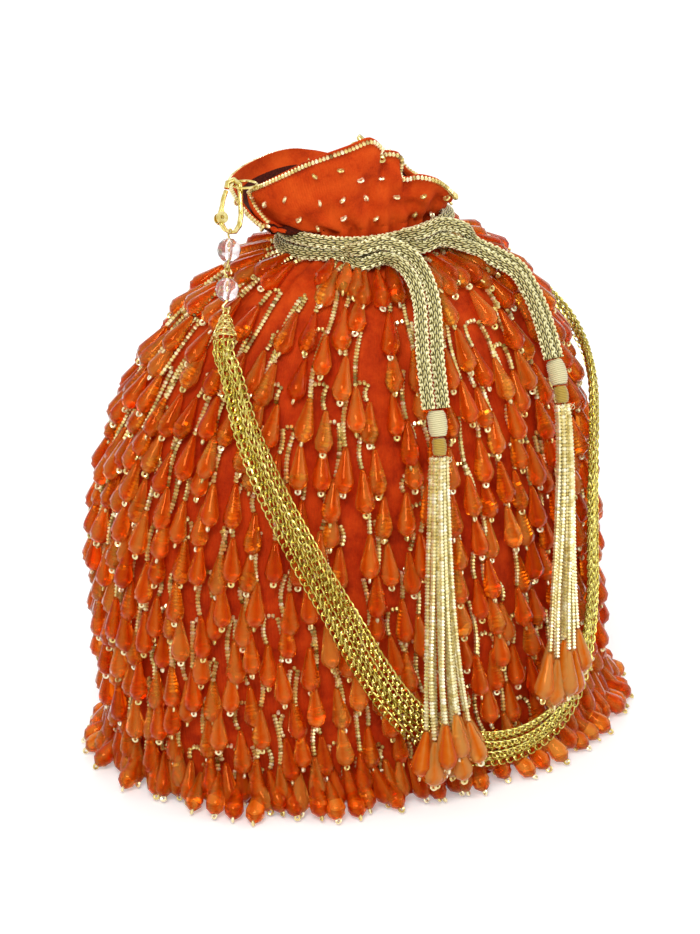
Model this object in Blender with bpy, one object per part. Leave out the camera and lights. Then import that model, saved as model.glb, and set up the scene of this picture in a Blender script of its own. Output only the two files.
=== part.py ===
"""Potli bag: a lined drawstring pouch of orange velvet, hung all over with teardrop beads.

The bag stands on its base in the XY plane, its long side along X and its front towards -Y.
All sizes are in metres and all angles in degrees, counted from +X towards +Y.
"""
import math

import bpy
import numpy as np

# Bag body
BODY_HALF_LENGTH = 0.0900
BODY_HALF_WIDTH = 0.0630
BULGE_HEIGHT = 0.060
NECK_HEIGHT = 0.182
NECK_HALF_LENGTH = 0.0265
NECK_HALF_WIDTH = 0.0170
DOME_POWER = 2.4
DOME_ROUNDNESS = 0.56
LEAN_X, LEAN_Y = -0.0055, 0.0032
BASE_EDGE_HEIGHT = 0.0030
BASE_EDGE_INSET = 0.0015
WALL = 0.0012

# Gathers, lining and base board
COLUMNS = 44
GATHER_DEPTH = 0.0015
GATHER_LENGTH = 0.055
LINING_THICKNESS = 0.0008
LINING_GAP = 0.0009
BOARD_THICKNESS = 0.0020
BOARD_EDGE_GAP = 0.0010
GAP = 0.0003

# Hanging teardrops, in the relief of the bag's wall
DROP_ROW = 0.0112
DROP_DEPTH = 0.0072
DROP_CHEEK_DEPTH = 0.0036
DROP_BELLY = 0.62
DROP_CHEEK = 0.42
BARE_ROWS = 2

# Ruffle: angle, reach from the axis and height of the rim above the neck
RUFFLE_RIM = [
    (20, 0.0290, 0.0210), (50, 0.0270, 0.0230), (72, 0.0280, 0.0240), (95, 0.0300, 0.0245),
    (118, 0.0360, 0.0250), (140, 0.0410, 0.0240), (158, 0.0430, 0.0235), (172, 0.0435, 0.0245),
    (186, 0.0440, 0.0265), (205, 0.0410, 0.0345), (222, 0.0340, 0.0420), (235, 0.0285, 0.0450),
    (247, 0.0250, 0.0440), (258, 0.0245, 0.0410), (269, 0.0250, 0.0370), (285, 0.0215, 0.0275),
    (300, 0.0240, 0.0275), (318, 0.0300, 0.0220), (332, 0.0320, 0.0175), (350, 0.0310, 0.0185),
]
RUFFLE_STEPS = (0.25, 0.50, 0.72, 0.88, 1.0)
BOWL_REACH = 0.018
LINING_STEPS = 5
RIM_BEAD_RADIUS = 0.0008
RIM_BEAD_PLACE = 0.93

# Drawstring
CORD = 0.0044
TAIL_SPACING = 0.0054
END_GAP = 0.0007
CAP_GAP = 0.0010
CAP_LEAD = 0.004
LOOP_STATIONS = 34
CREAM_WRAP_LENGTH = 0.0085
CREAM_WRAP_RADIUS = 0.0033
MUSTARD_WRAP_LENGTH = 0.0056
MUSTARD_WRAP_RADIUS = 0.0028

# Cord and tassel routes: angle, height and distance out from the bag, in millimetres
TAIL_A_ROUTE = [
    (244, 185.5, 8.9), (252, 187, 9.4), (259, 187.5, 10.6), (264.5, 186.5, 13.5), (268, 176, 10),
    (270, 170, 10), (269, 163, 10), (268, 154, 10), (268, 145, 10), (268, 136, 10.8),
    (268, 128, 11.6), (267.5, 112, 12.2), (267, 92, 13.4), (266.5, 70, 15), (266, 50, 16.4),
    (266, 30, 16.8), (266, 12, 16.8), (266, -4, 16.8),
]
TAIL_B_ROUTE = [
    (283, 188.5, 9), (292, 189.5, 9.4), (300, 189.5, 11), (306, 187, 14.5), (310, 178, 6.2),
    (312, 173.5, 7.2), (312.5, 168, 9.8), (311.5, 161, 10), (310, 153, 10), (308, 145, 10.4),
    (305.5, 136, 12), (303, 126, 13.6), (300.5, 113, 14.6), (298.5, 98, 15.2), (297, 82, 15.6),
    (295.5, 65, 16.4), (294.5, 50, 17.2), (294, 40, 17.4), (294, 28, 17.4), (294, 10, 17.4),
]
TAIL_A_CORD_LENGTH = 0.071
TAIL_A_TASSEL_LENGTH = 0.0975
TAIL_B_CORD_LENGTH = 0.075
TAIL_B_TASSEL_LENGTH = 0.0880
TASSEL_LOBES = 11
TASSEL_TOP = (0.0034, 0.0030)
TASSEL_END = (0.0088, 0.0042)
TASSEL_DROP_LENGTH = 0.0205
TASSEL_DROP_SIZE = (0.0100, 0.0046)
DROP_SHAPE = [(0, 0.6, 0.55), (0.35, 0.85, 0.8), (0.7, 1, 1), (1, 0.7, 0.6)]

# Chain strap: angle, height and distance out from the bag, in millimetres
STRAP_ROUTE = [
    (213.5, 152, 10.2), (222, 137, 9.7), (230.5, 119, 9.7), (238.5, 99.5, 9.7), (246, 77, 9.7),
    (252, 56, 9.7), (257.5, 40, 9.7), (264.5, 26.5, 9.7), (273.5, 17.5, 9.7), (284, 14.5, 9.7),
    (294, 17.5, 9.7), (303, 25.5, 9.7), (310, 39, 9.7), (314, 55, 9.7), (315, 72, 9.7),
    (316.5, 88, 9.7), (319.5, 102, 9.7), (325, 114, 9.7), (334, 124, 9.7), (345, 132, 9.7),
    (358, 139, 9.8), (372, 146, 10), (386, 152.5, 10.6),
]
STRAP_SPREAD_AT = (0.0, 0.10, 0.35, 0.62, 0.72, 0.90, 1.0)
STRAP_SPREAD = (0.0019, 0.0026, 0.0034, 0.0036, 0.0028, 0.0024, 0.0019)
STRAP_LAYERS = ((-1.0, 0.0, 1.0), (-1.5, -0.5, 0.5, 1.5))
LAYER_STEP = 0.0015
LINK_STEP = 0.0085
LINK_HALF_WIDTH = 0.00155
LINK_NARROW = 0.00075
LINK_FLAT = 0.00045
LINK_DEEP = 0.0006

# Fittings at each end of the strap: ring, clasp, two crystals on eye pins, and a cone cap
END_ANGLES = {"left": 179.0, "right": 62.0}
# Point of the bag that each end hangs towards: angle, depth below the neck and distance out
END_AIMS = {"left": (209, 0.022, 0.0125), "right": (402, 0.022, 0.012)}
RING_RADIUS = 0.0042
RING_WIRE = 0.00045
RING_LIFT = 0.0017
RING_REACH = 0.0060
CLASP_BAR = 0.00095
CLASP_LOW_BAR = 0.0005
CLASP_LOW_LENGTH = 0.0030
CLASP_GATE_BAR = 0.0008
CLASP_BODY = [
    (2.4, 1.2), (2.2, -0.8), (0, -2.35), (-2.2, -0.9), (-2.6, 1.6), (-2.9, 5.6), (-3.2, 9.7),
    (-2.8, 13.3), (-1.4, 15.8), (0.5, 16.5), (2.4, 15.5), (3.5, 14.0), (3.9, 12.8),
]
CLASP_GATE = [
    (3.9, 13.1), (3.9, 12.0), (3.92, 10.4), (3.8, 8), (3.4, 5), (2.75, 2.8), (2.55, 2.1),
]
PIVOT = (0.0039, 0.0119)
PIVOT_PIN_RADIUS = 0.0004
CHEEK_RADIUS = 0.0021
SLOT_RADIUS = 0.00175
CHEEK_OUTER = 0.00135
GATE_KNUCKLE = 0.00045
PIN_PROUD = 0.0003
CRYSTAL_RADIUS = 0.0041
CRYSTAL_BORE = 0.0008
EYE_WIRE = 0.00035
CAP_LENGTH = 0.0080
CAP_TOP_RADIUS = 0.0014
CAP_BASE_RADIUS = 0.0040
CAP_WALL = 0.0005

COLOURS = {
    "velvet": ((0.72, 0.065, 0.012, 1), 0.85, 0.0),
    "lining": ((0.10, 0.020, 0.012, 1), 0.80, 0.0),
    "board": ((0.45, 0.36, 0.25, 1), 0.90, 0.0),
    "drop": ((0.80, 0.12, 0.012, 1), 0.15, 0.0),
    "gold": ((0.75, 0.55, 0.18, 1), 0.30, 1.0),
    "cord": ((0.62, 0.56, 0.26, 1), 0.45, 0.6),
    "cream": ((0.68, 0.62, 0.36, 1), 0.60, 0.0),
    "mustard": ((0.48, 0.30, 0.02, 1), 0.60, 0.0),
    "crystal": ((0.85, 0.78, 0.80, 1), 0.05, 0.0),
}


def material(name, finish):
    """A Principled material for one piece, with the colour, roughness and metallic value of a finish."""
    colour, roughness, metallic = COLOURS[finish]
    made = bpy.data.materials.new(f"{finish}_of_{name}")
    made.use_nodes = True
    shader = made.node_tree.nodes["Principled BSDF"]
    shader.inputs["Base Color"].default_value = colour
    shader.inputs["Roughness"].default_value = roughness
    shader.inputs["Metallic"].default_value = metallic
    return made


def unit(vectors):
    vectors = np.asarray(vectors, float)
    return vectors / np.linalg.norm(vectors, axis=-1, keepdims=True)


def add_object(name, points, faces, finish, smooth=30):
    """One object from points and faces, turned to face outwards and smoothed below an angle."""
    mesh = bpy.data.meshes.new(name)
    mesh.from_pydata([tuple(point) for point in points], [], [tuple(face) for face in faces])
    mesh.calc_loop_triangles()
    corners = np.array([[points[i] for i in t.vertices] for t in mesh.loop_triangles])
    if np.linalg.det(corners).sum() < 0:
        mesh.flip_normals()
    mesh.polygons.foreach_set("use_smooth", [True] * len(mesh.polygons))
    mesh.set_sharp_from_angle(angle=math.radians(smooth))
    mesh.materials.append(material(name, finish))
    made = bpy.data.objects.new(name, mesh)
    bpy.context.scene.collection.objects.link(made)
    return made


def cut(target, cutter, operation="DIFFERENCE"):
    """Cuts or joins a hidden helper with a Boolean that stays on the target."""
    cutter.hide_render = True
    cutter.display_type = "WIRE"
    boolean = target.modifiers.new(operation.title(), "BOOLEAN")
    boolean.operation = operation
    boolean.object = cutter


def fullness(height):
    """1 up to the bulge, then down to 0 at the neck: (1 - t^power)^roundness."""
    t = np.clip((height - BULGE_HEIGHT) / (NECK_HEIGHT - BULGE_HEIGHT), 0, 1)
    return (1 - t**DOME_POWER) ** DOME_ROUNDNESS


def mean_radius(full):
    neck = (NECK_HALF_LENGTH + NECK_HALF_WIDTH) / 2
    return neck + ((BODY_HALF_LENGTH + BODY_HALF_WIDTH) / 2 - neck) * full


def lean(height):
    """Sideways shift of the slack bag: none at the base and neck, most between them."""
    share = np.sin(math.pi * np.clip(np.asarray(height) / NECK_HEIGHT, 0, 1))
    return np.stack([LEAN_X * share, LEAN_Y * share, 0 * share], axis=-1)


def around(angle, full, height, grow, rise):
    """Points on the bag's oval at these fullnesses, grown sideways and raised."""
    turn = np.radians(angle)
    half_x = NECK_HALF_LENGTH + (BODY_HALF_LENGTH - NECK_HALF_LENGTH) * full + grow
    half_y = NECK_HALF_WIDTH + (BODY_HALF_WIDTH - NECK_HALF_WIDTH) * full + grow
    flat = np.stack([half_x * np.cos(turn), half_y * np.sin(turn), height + rise + 0 * turn], axis=-1)
    return flat + lean(height)


def on_bag(angle, height, out):
    """A point at this angle and height, this far out square to the bag's profile."""
    step = 0.0001
    slope = mean_radius(fullness(height + step)) - mean_radius(fullness(height - step))
    sideways, upward = unit([2 * step, -slope])
    return around(angle, fullness(height), height, out * sideways, out * upward)


def hermite(knots, values, where):
    """Smooth curve through the values: cubic pieces with the slope of each knot's two neighbours."""
    slopes = np.gradient(values, knots, axis=0)
    piece = np.clip(np.searchsorted(knots, where, side="right") - 1, 0, len(knots) - 2)
    width = (knots[piece + 1] - knots[piece])[:, None]
    t = (where[:, None] - knots[piece][:, None]) / width
    start, end = values[piece], values[piece + 1]
    rise = (3 - 2 * t) * t**2
    lead = t * (1 - t) ** 2 * width * slopes[piece]
    tail = -(t**2) * (1 - t) * width * slopes[piece + 1]
    return start * (1 - rise) + end * rise + lead + tail


def rim_at(angles):
    """Reach and height of the ruffle's rim at these angles, smooth all round."""
    table = np.array(RUFFLE_RIM, float)
    knots = np.concatenate([table[-2:, 0] - 360, table[:, 0], table[:2, 0] + 360])
    values = np.concatenate([table[-2:, 1:], table[:, 1:], table[:2, 1:]])
    return hermite(knots, values + [0, NECK_HEIGHT], np.mod(angles, 360.0))


def body_rows():
    """Fullness and height of rows at even steps along the body's profile, base edge to neck."""
    sweep = np.sin(np.linspace(0, math.pi / 2, 400))
    heights = np.append(BASE_EDGE_HEIGHT, BULGE_HEIGHT + (NECK_HEIGHT - BULGE_HEIGHT) * sweep)
    full = fullness(heights)
    length = np.append(0, np.cumsum(np.hypot(np.diff(mean_radius(full)), np.diff(heights))))
    count = round(length[-1] / DROP_ROW)
    steps = np.linspace(0, length[-1], count + 1)
    return np.interp(steps, length, full), np.interp(steps, length, heights), steps


RUFFLE_START = NECK_HEIGHT + 2 * CORD + 4 * GAP
EYE_RADIUS = CLASP_LOW_BAR + EYE_WIRE + 1.6 * GAP
FULL_ROWS, HEIGHT_ROWS, LENGTH_ROWS = body_rows()
TOP_ROW = len(FULL_ROWS) - 1
RELIEF_ROW = TOP_ROW - BARE_ROWS
ANGLES = np.arange(COLUMNS) * 360.0 / COLUMNS


def ruffle_row(angles, t):
    """Half axes and height of the ruffle at share t: bowl-shaped where the rim reaches far out."""
    rim = rim_at(angles)
    reach, top = rim[:, 0], rim[:, 1]
    bowl = np.clip((reach - NECK_HALF_LENGTH) / BOWL_REACH, 0, 1)
    outward = t * (1 - bowl) + math.sin(math.pi * t / 2) * bowl
    upward = t * (1 - bowl) + (1 - math.cos(math.pi * t / 2)) * bowl
    half_x = NECK_HALF_LENGTH + (reach - NECK_HALF_LENGTH) * outward
    half_y = NECK_HALF_WIDTH + (reach - NECK_HALF_WIDTH) * outward
    return half_x, half_y, RUFFLE_START + (top - RUFFLE_START) * upward


def wall_grid(angles, gathers):
    """Half axes, heights and profile normals of every row from the base edge to the rim."""
    rows = []
    for full, height in zip(FULL_ROWS, HEIGHT_ROWS):
        half_x = NECK_HALF_LENGTH + (BODY_HALF_LENGTH - NECK_HALF_LENGTH) * full
        half_y = NECK_HALF_WIDTH + (BODY_HALF_WIDTH - NECK_HALF_WIDTH) * full
        rows.append((half_x + 0 * angles, half_y + 0 * angles, height + 0 * angles))
    rows.append(tuple(size + 0 * angles for size in (NECK_HALF_LENGTH, NECK_HALF_WIDTH, RUFFLE_START)))
    rows.extend(ruffle_row(angles, t) for t in RUFFLE_STEPS)
    half_x, half_y, height = (np.array(parts) for parts in zip(*rows))
    radius = (half_x + half_y) / 2
    run, rise = np.gradient(radius, axis=0), np.gradient(height, axis=0)
    normal = unit(np.stack([rise, -run], axis=-1))
    above = [0] + [GATHER_LENGTH * t for t in RUFFLE_STEPS]
    from_neck = np.append(LENGTH_ROWS[-1] - LENGTH_ROWS, above)
    fade = np.clip(1 - from_neck / GATHER_LENGTH, 0, 1)
    gather = GATHER_DEPTH * (fade**2 * (3 - 2 * fade))[:, None] * gathers
    return half_x + gather, half_y + gather, height, normal


def grid_points(grid, angles, out):
    """The wall's points moved this far along its profile normals."""
    half_x, half_y, height, normal = grid
    turn = np.radians(angles)
    x = (half_x + out * normal[..., 0]) * np.cos(turn)
    y = (half_y + out * normal[..., 0]) * np.sin(turn)
    return np.stack([x, y, height + out * normal[..., 1]], axis=-1) + lean(height)


def relief_point(row, column, out):
    """A point of the relief at a fractional row and column, this far out from the wall."""
    index = np.arange(TOP_ROW + 1)
    full, height = np.interp(row, index, FULL_ROWS), np.interp(row, index, HEIGHT_ROWS)
    run = mean_radius(np.interp(row + 0.5, index, FULL_ROWS)) - mean_radius(
        np.interp(row - 0.5, index, FULL_ROWS)
    )
    rise = np.interp(row + 0.5, index, HEIGHT_ROWS) - np.interp(row - 0.5, index, HEIGHT_ROWS)
    sideways, upward = unit([rise, -run])
    return around(column * 360.0 / COLUMNS, full, height, out * sideways, out * upward)


class Shell:
    """Points and faces of a closed skin, added ring by ring."""

    def __init__(self):
        self.points = []
        self.faces = []

    def ring(self, points):
        start = len(self.points)
        self.points.extend(np.atleast_2d(points))
        return list(range(start, len(self.points)))

    def band(self, low, high):
        for i in range(len(low)):
            j = (i + 1) % len(low)
            self.faces.append((low[i], low[j], high[j], high[i]))

    def bands(self, rings):
        for low, high in zip(rings, rings[1:]):
            self.band(low, high)

    def fan(self, ring, middle, flip):
        tip = self.ring(middle)[0]
        for i in range(len(ring)):
            pair = (ring[i], ring[(i + 1) % len(ring)])
            self.faces.append((pair[1], pair[0], tip) if flip else (*pair, tip))


def add_drops(shell, rings):
    """Teardrop relief: each diamond of the grid carries a drop, thin above and round below.

    A drop hangs from a grid point two rows up, is widest at its belly and ends on the next point.
    """
    for row in range(RELIEF_ROW + 1):
        for column in range(COLUMNS):
            left, right = (column - 1) % COLUMNS, (column + 1) % COLUMNS
            if (row + column) % 2:
                if row == 0:
                    shell.faces.append((rings[0][left], rings[0][column], rings[1][column]))
                    shell.faces.append((rings[0][column], rings[0][right], rings[1][column]))
                if row == RELIEF_ROW:
                    middle, below = rings[row][column], rings[row - 1][column]
                    shell.faces.append((middle, rings[row][left], below))
                    shell.faces.append((rings[row][right], middle, below))
                continue
            if row > RELIEF_ROW - 2:
                continue
            tip, top = rings[row][column], rings[row + 2][column]
            side_left, side_right = rings[row + 1][left], rings[row + 1][right]
            belly = row + DROP_BELLY
            front, cheek_left, cheek_right = shell.ring([
                relief_point(belly, column, DROP_DEPTH),
                relief_point(belly + 0.05, column - DROP_CHEEK, DROP_CHEEK_DEPTH),
                relief_point(belly + 0.05, column + DROP_CHEEK, DROP_CHEEK_DEPTH),
            ])
            shell.faces.extend([
                (top, cheek_left, front), (top, front, cheek_right),
                (tip, front, cheek_left), (tip, cheek_right, front),
                (top, side_left, cheek_left), (side_left, tip, cheek_left),
                (top, cheek_right, side_right), (cheek_right, tip, side_right),
            ])


def make_outer_bag():
    """Velvet wall from the flat base to the ruffle's rim, with the drops in relief."""
    signs = np.where(np.arange(COLUMNS) % 2, -1.0, 1.0)
    grid = wall_grid(ANGLES, signs)
    outer, inner = grid_points(grid, ANGLES, 0), grid_points(grid, ANGLES, -WALL)
    shell = Shell()
    base = shell.ring(around(ANGLES, 1.0, 0.0, -BASE_EDGE_INSET, 0.0))
    shell.fan(base, (0, 0, 0), flip=True)
    rings = [shell.ring(points) for points in outer]
    shell.band(base, rings[0])
    add_drops(shell, rings)
    shell.bands(rings[RELIEF_ROW:])
    inner_rows = [*range(len(inner) - 1, TOP_ROW, -1), *range(TOP_ROW, 0, -2), 0]
    inside = [shell.ring(inner[row]) for row in inner_rows]
    floor = shell.ring(around(ANGLES, 1.0, 0.0, -BASE_EDGE_INSET - WALL, WALL))
    shell.bands([rings[-1]] + inside + [floor])
    shell.fan(floor, (0, 0, WALL), flip=False)
    return add_object("outer_bag", shell.points, shell.faces, "velvet")


def make_lining():
    """Lining that stands inside the wall from the base board to just under the rim."""
    angles = ANGLES[1::2]
    grid = wall_grid(angles, -1.0)
    depth = WALL + LINING_GAP
    outer = grid_points(grid, angles, -depth)
    inner = grid_points(grid, angles, -depth - LINING_THICKNESS)
    rows = [*range(TOP_ROW, 1, -2)][::-1] + [*range(TOP_ROW + 1, TOP_ROW + 1 + LINING_STEPS)]
    low = WALL + BOARD_THICKNESS + 2 * GAP
    shell = Shell()
    inset = BASE_EDGE_INSET + depth
    bottom = shell.ring(around(angles, 1.0, 0.0, -inset, low))
    shell.fan(bottom, (0, 0, low), flip=True)
    outside = [shell.ring(outer[row]) for row in rows]
    inside = [shell.ring(inner[row]) for row in rows[::-1]]
    floor = shell.ring(around(angles, 1.0, 0.0, -inset - LINING_THICKNESS, low + LINING_THICKNESS))
    shell.bands([bottom] + outside + inside + [floor])
    shell.fan(floor, (0, 0, low + LINING_THICKNESS), flip=False)
    return add_object("lining", shell.points, shell.faces, "lining")


def skin(name, rings, finish, closed=False, smooth=40):
    """A skin over rings of points: joined end to end, or capped at both ends."""
    count, around_ring = rings.shape[:2]
    index = np.arange(count * around_ring).reshape(count, around_ring)
    lower = index if closed else index[:-1]
    upper = np.roll(index, -1, axis=0) if closed else index[1:]
    quads = np.stack([lower, np.roll(lower, -1, 1), np.roll(upper, -1, 1), upper], axis=-1)
    faces = [tuple(quad) for quad in quads.reshape(-1, 4)]
    if not closed:
        faces.extend([tuple(index[0][::-1]), tuple(index[-1])])
    return add_object(name, rings.reshape(-1, 3), faces, finish, smooth)


def frames(centres, outs, closed=False, along=None):
    """Along, across and depth directions at each station of a path."""
    if along is not None:
        along = unit(along)
    elif closed:
        along = unit(np.roll(centres, -1, axis=0) - np.roll(centres, 1, axis=0))
    else:
        along = unit(np.gradient(centres, axis=0))
    across = unit(np.cross(along, outs))
    return along, across, np.cross(across, along)


def ovals(centres, across, depth, width, thick, sides, lobes=0, lobe_share=0.0):
    """Oval sections at each station, their outline waved by a number of lobes."""
    turn = np.arange(sides) * 2 * math.pi / sides
    wave = 1 + lobe_share * np.cos(lobes * turn)
    wide = np.asarray(width, float).reshape(-1, 1, 1) * (wave * np.cos(turn))[None, :, None]
    deep = np.asarray(thick, float).reshape(-1, 1, 1) * (wave * np.sin(turn))[None, :, None]
    return centres[:, None] + wide * across[:, None] + deep * depth[:, None]


class Route:
    """A smooth path through chosen points, read by the length along it."""

    def __init__(self, points, outs):
        points = np.asarray(points, float)
        knots = np.append(0, np.cumsum(np.linalg.norm(np.diff(points, axis=0), axis=1)))
        fine = np.linspace(0, knots[-1], 1200)
        self.points = hermite(knots, points, fine)
        self.outs = unit(hermite(knots, np.asarray(outs, float), fine))
        steps = np.linalg.norm(np.diff(self.points, axis=0), axis=1)
        self.lengths = np.append(0, np.cumsum(steps))

    def at(self, lengths):
        place = np.stack([np.interp(lengths, self.lengths, axis) for axis in self.points.T], axis=-1)
        out = np.stack([np.interp(lengths, self.lengths, axis) for axis in self.outs.T], axis=-1)
        return place, unit(out)


def bag_points(table):
    """Points and outward directions from rows of angle, height and distance out, in millimetres."""
    rows = [(angle, height / 1000, out / 1000) for angle, height, out in table]
    outs = [unit(on_bag(a, h, out + 0.001) - on_bag(a, h, out)) for a, h, out in rows]
    return [on_bag(*row) for row in rows], outs


def make_neck_loops():
    """The drawstring's two turns round the gathered neck."""
    angles = np.arange(LOOP_STATIONS) * 360.0 / LOOP_STATIONS
    clear = GATHER_DEPTH + GAP + CORD / 2
    for turn, name in enumerate(("drawstring_loop_lower", "drawstring_loop_upper")):
        height = NECK_HEIGHT + GAP + CORD / 2 + turn * (CORD + GAP) + 0 * angles
        centres = around(angles, 0.0, height, clear, 0.0)
        outs = unit(around(angles, 0.0, height, clear + CORD, 0.0) - centres)
        _, across, depth = frames(centres, outs, closed=True)
        radius = [CORD / 2] * LOOP_STATIONS
        rings = ovals(centres, across, depth, radius, radius, 6)
        skin(name, rings, "cord", closed=True)


def add_cord(name, points):
    """A round cord along these points, a smooth tube with filled ends."""
    curve = bpy.data.curves.new(name, "CURVE")
    curve.dimensions = "3D"
    curve.bevel_depth = CORD / 2
    curve.bevel_resolution = 2
    curve.use_fill_caps = True
    spline = curve.splines.new("POLY")
    spline.points.add(len(points) - 1)
    spline.points.foreach_set("co", np.column_stack([points, np.ones(len(points))]).ravel())
    curve.materials.append(material(name, "cord"))
    bpy.context.scene.collection.objects.link(bpy.data.objects.new(name, curve))


def make_tail(letter, table, cord_length, tassel_length):
    """One end of the drawstring: two cords side by side, two thread wraps and a bead tassel."""
    route = Route(*bag_points(table))
    lengths = np.linspace(0, cord_length, max(3, round(cord_length / (2 * CORD)) + 1))
    centres, outs = route.at(lengths)
    _, across, _ = frames(centres, outs)
    for side, shift in (("left", -1), ("right", 1)):
        add_cord(f"tail_{letter}_{side}", centres + across * shift * TAIL_SPACING / 2)

    def loft(name, start, length, shape, finish, sides, lobes=0, lobe_share=0.0):
        shares = np.array([row[0] for row in shape])
        places, ways = route.at(start + shares * length)
        _, wide, deep = frames(places, ways)
        widths, depths = [row[1] for row in shape], [row[2] for row in shape]
        rings = ovals(places, wide, deep, widths, depths, sides, lobes, lobe_share)
        skin(f"{name}_{letter}", rings, finish)
        return start + length + END_GAP

    full, thin = CREAM_WRAP_RADIUS, 0.8 * CREAM_WRAP_RADIUS
    shape = [(0, thin, thin), (0.2, full, full), (0.8, full, full), (1, thin, thin)]
    reach = loft("cream_wrap", cord_length + END_GAP, CREAM_WRAP_LENGTH, shape, "cream", 10)
    shape = [(t, MUSTARD_WRAP_RADIUS, MUSTARD_WRAP_RADIUS) for t in (0, 1)]
    reach = loft("mustard_wrap", reach, MUSTARD_WRAP_LENGTH, shape, "mustard", 10)
    top, end = np.array(TASSEL_TOP), np.array(TASSEL_END)
    shape = [(t, *(top + (end - top) * t)) for t in (0, 0.2, 0.4, 0.6, 0.8, 1)]
    lobes = TASSEL_LOBES
    reach = loft("tassel_strands", reach, tassel_length, shape, "gold", 2 * lobes, lobes, 0.12)
    shape = [(t, wide * TASSEL_DROP_SIZE[0], deep * TASSEL_DROP_SIZE[1]) for t, wide, deep in DROP_SHAPE]
    loft("tassel_drops", reach, TASSEL_DROP_LENGTH, shape, "drop", 2 * lobes, lobes, 0.18)


def ring_points(centre, first, second, radius, count, start=0.0, sweep=360.0):
    """Points round an arc in the plane of two directions."""
    turn = np.radians(start + np.arange(count) * sweep / (count if sweep == 360.0 else count - 1))
    return centre + radius * (np.outer(np.cos(turn), first) + np.outer(np.sin(turn), second))


def disc(name, centre, axis, radius, half_width, sides=16):
    """A short cylinder about an axis."""
    first = unit(np.cross(axis, (0.3, 0.2, 0.9)))
    second = np.cross(axis, first)
    ends = (centre - axis * half_width, centre + axis * half_width)
    rings = [ring_points(place, first, second, radius, sides) for place in ends]
    return skin(name, np.array(rings), "gold")


class StrapEnd:
    """Directions and places of the fittings that hang from the ring at one end of the strap."""

    def __init__(self, side):
        self.side = side
        angle = END_ANGLES[side]
        turn = math.radians(angle)
        radial = np.array([math.cos(turn), math.sin(turn), 0.0])
        reach, top = rim_at(np.array([angle]))[0]
        self.radial = radial
        self.hook = radial * (reach + RING_REACH) + np.array([0, 0, top + RING_LIFT])
        aim_angle, aim_depth, aim_out = END_AIMS[side]
        aim = on_bag(aim_angle, NECK_HEIGHT - aim_depth, aim_out)
        self.down = unit(aim - self.hook)
        self.outward = unit(radial - self.down * (radial @ self.down))
        self.sideways = np.cross(self.down, self.outward)

    def at(self, outward, down, sideways=0.0):
        return self.hook + self.outward * outward + self.down * down + self.sideways * sideways


def plane_path(end, table):
    """Points in the clasp's plane from rows of outward and down, in millimetres."""
    places = np.array([end.at(outward / 1000, down / 1000) for outward, down in table])
    return places, np.tile(end.sideways, (len(places), 1))


def low_point():
    """The clasp's lowest point in its plane, which the first eye pin hangs on."""
    outward, down = max(CLASP_BODY, key=lambda row: row[1])
    return outward / 1000, down / 1000


def make_clasp(end):
    """Lobster clasp: a hooked body with two cheeks, and a gate that turns on a pin between them."""
    places, outs = plane_path(end, CLASP_BODY)
    _, across, depth = frames(places, outs)
    from_low = np.linalg.norm(places - end.at(*low_point()), axis=1)
    slim = np.clip(1 - from_low / CLASP_LOW_LENGTH, 0, 1)
    bar = CLASP_BAR + (CLASP_LOW_BAR - CLASP_BAR) * slim
    body = skin(f"clasp_body_{end.side}", ovals(places, across, depth, bar, bar, 8), "gold")
    pivot, axis = end.at(*PIVOT), end.sideways
    inner_face = GATE_KNUCKLE + GAP
    cut(body, disc(f"cheeks_{end.side}", pivot, axis, CHEEK_RADIUS, CHEEK_OUTER), "UNION")
    cut(body, slot_between_cheeks(end, inner_face))
    bore = disc(f"bore_{end.side}", pivot, axis, PIVOT_PIN_RADIUS + GAP, CHEEK_OUTER + GAP, 10)
    cut(body, bore)
    places, outs = plane_path(end, CLASP_GATE)
    _, across, depth = frames(places, outs)
    far = np.linalg.norm(places - pivot, axis=1) > CHEEK_RADIUS + 3 * GAP
    wide = np.where(far, CLASP_GATE_BAR, 1.5 * CLASP_GATE_BAR)
    thick = np.where(far, CLASP_GATE_BAR, GATE_KNUCKLE)
    gate = skin(f"clasp_gate_{end.side}", ovals(places, across, depth, wide, thick, 8), "gold")
    cut(gate, bore)
    disc(f"clasp_pin_{end.side}", pivot, axis, PIVOT_PIN_RADIUS, CHEEK_OUTER + PIN_PROUD, 10)


def slot_between_cheeks(end, half_width):
    """Cutter for the slot that the gate's knuckle turns in, open on the gate's side."""
    reach = CHEEK_RADIUS + GAP
    left, right = PIVOT[0] - reach, PIVOT[0] + reach
    high, low = PIVOT[1] - reach, PIVOT[1] + SLOT_RADIUS
    corners = [(left, high), (right, high), (right, low), (left, low)]
    rings = [[end.at(u, v, w) for u, v in corners] for w in (-half_width, half_width)]
    return skin(f"slot_{end.side}", np.array(rings), "gold")


def eye_pin(name, top, down, first):
    """A wire through a crystal with an eye bent at each end, both in one plane."""
    turns = 250.0
    low = top + down * (2 * CRYSTAL_RADIUS + 2 * (EYE_RADIUS + EYE_WIRE + GAP))
    upper = ring_points(top, first, down, EYE_RADIUS, 8, 90.0 - turns - 40, turns)
    lower = ring_points(low, first, -down, EYE_RADIUS, 8, 90.0 - turns - 40, turns)
    neck = EYE_RADIUS + 2 * EYE_WIRE
    shaft = [top + down * neck, low - down * neck]
    places = np.concatenate([upper, shaft, lower[::-1]])
    normal = np.cross(first, down)
    _, across, depth = frames(places, np.tile(normal, (len(places), 1)))
    wire = [EYE_WIRE] * len(places)
    skin(name, ovals(places, across, depth, wire, wire, 5), "gold")
    return low


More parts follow.
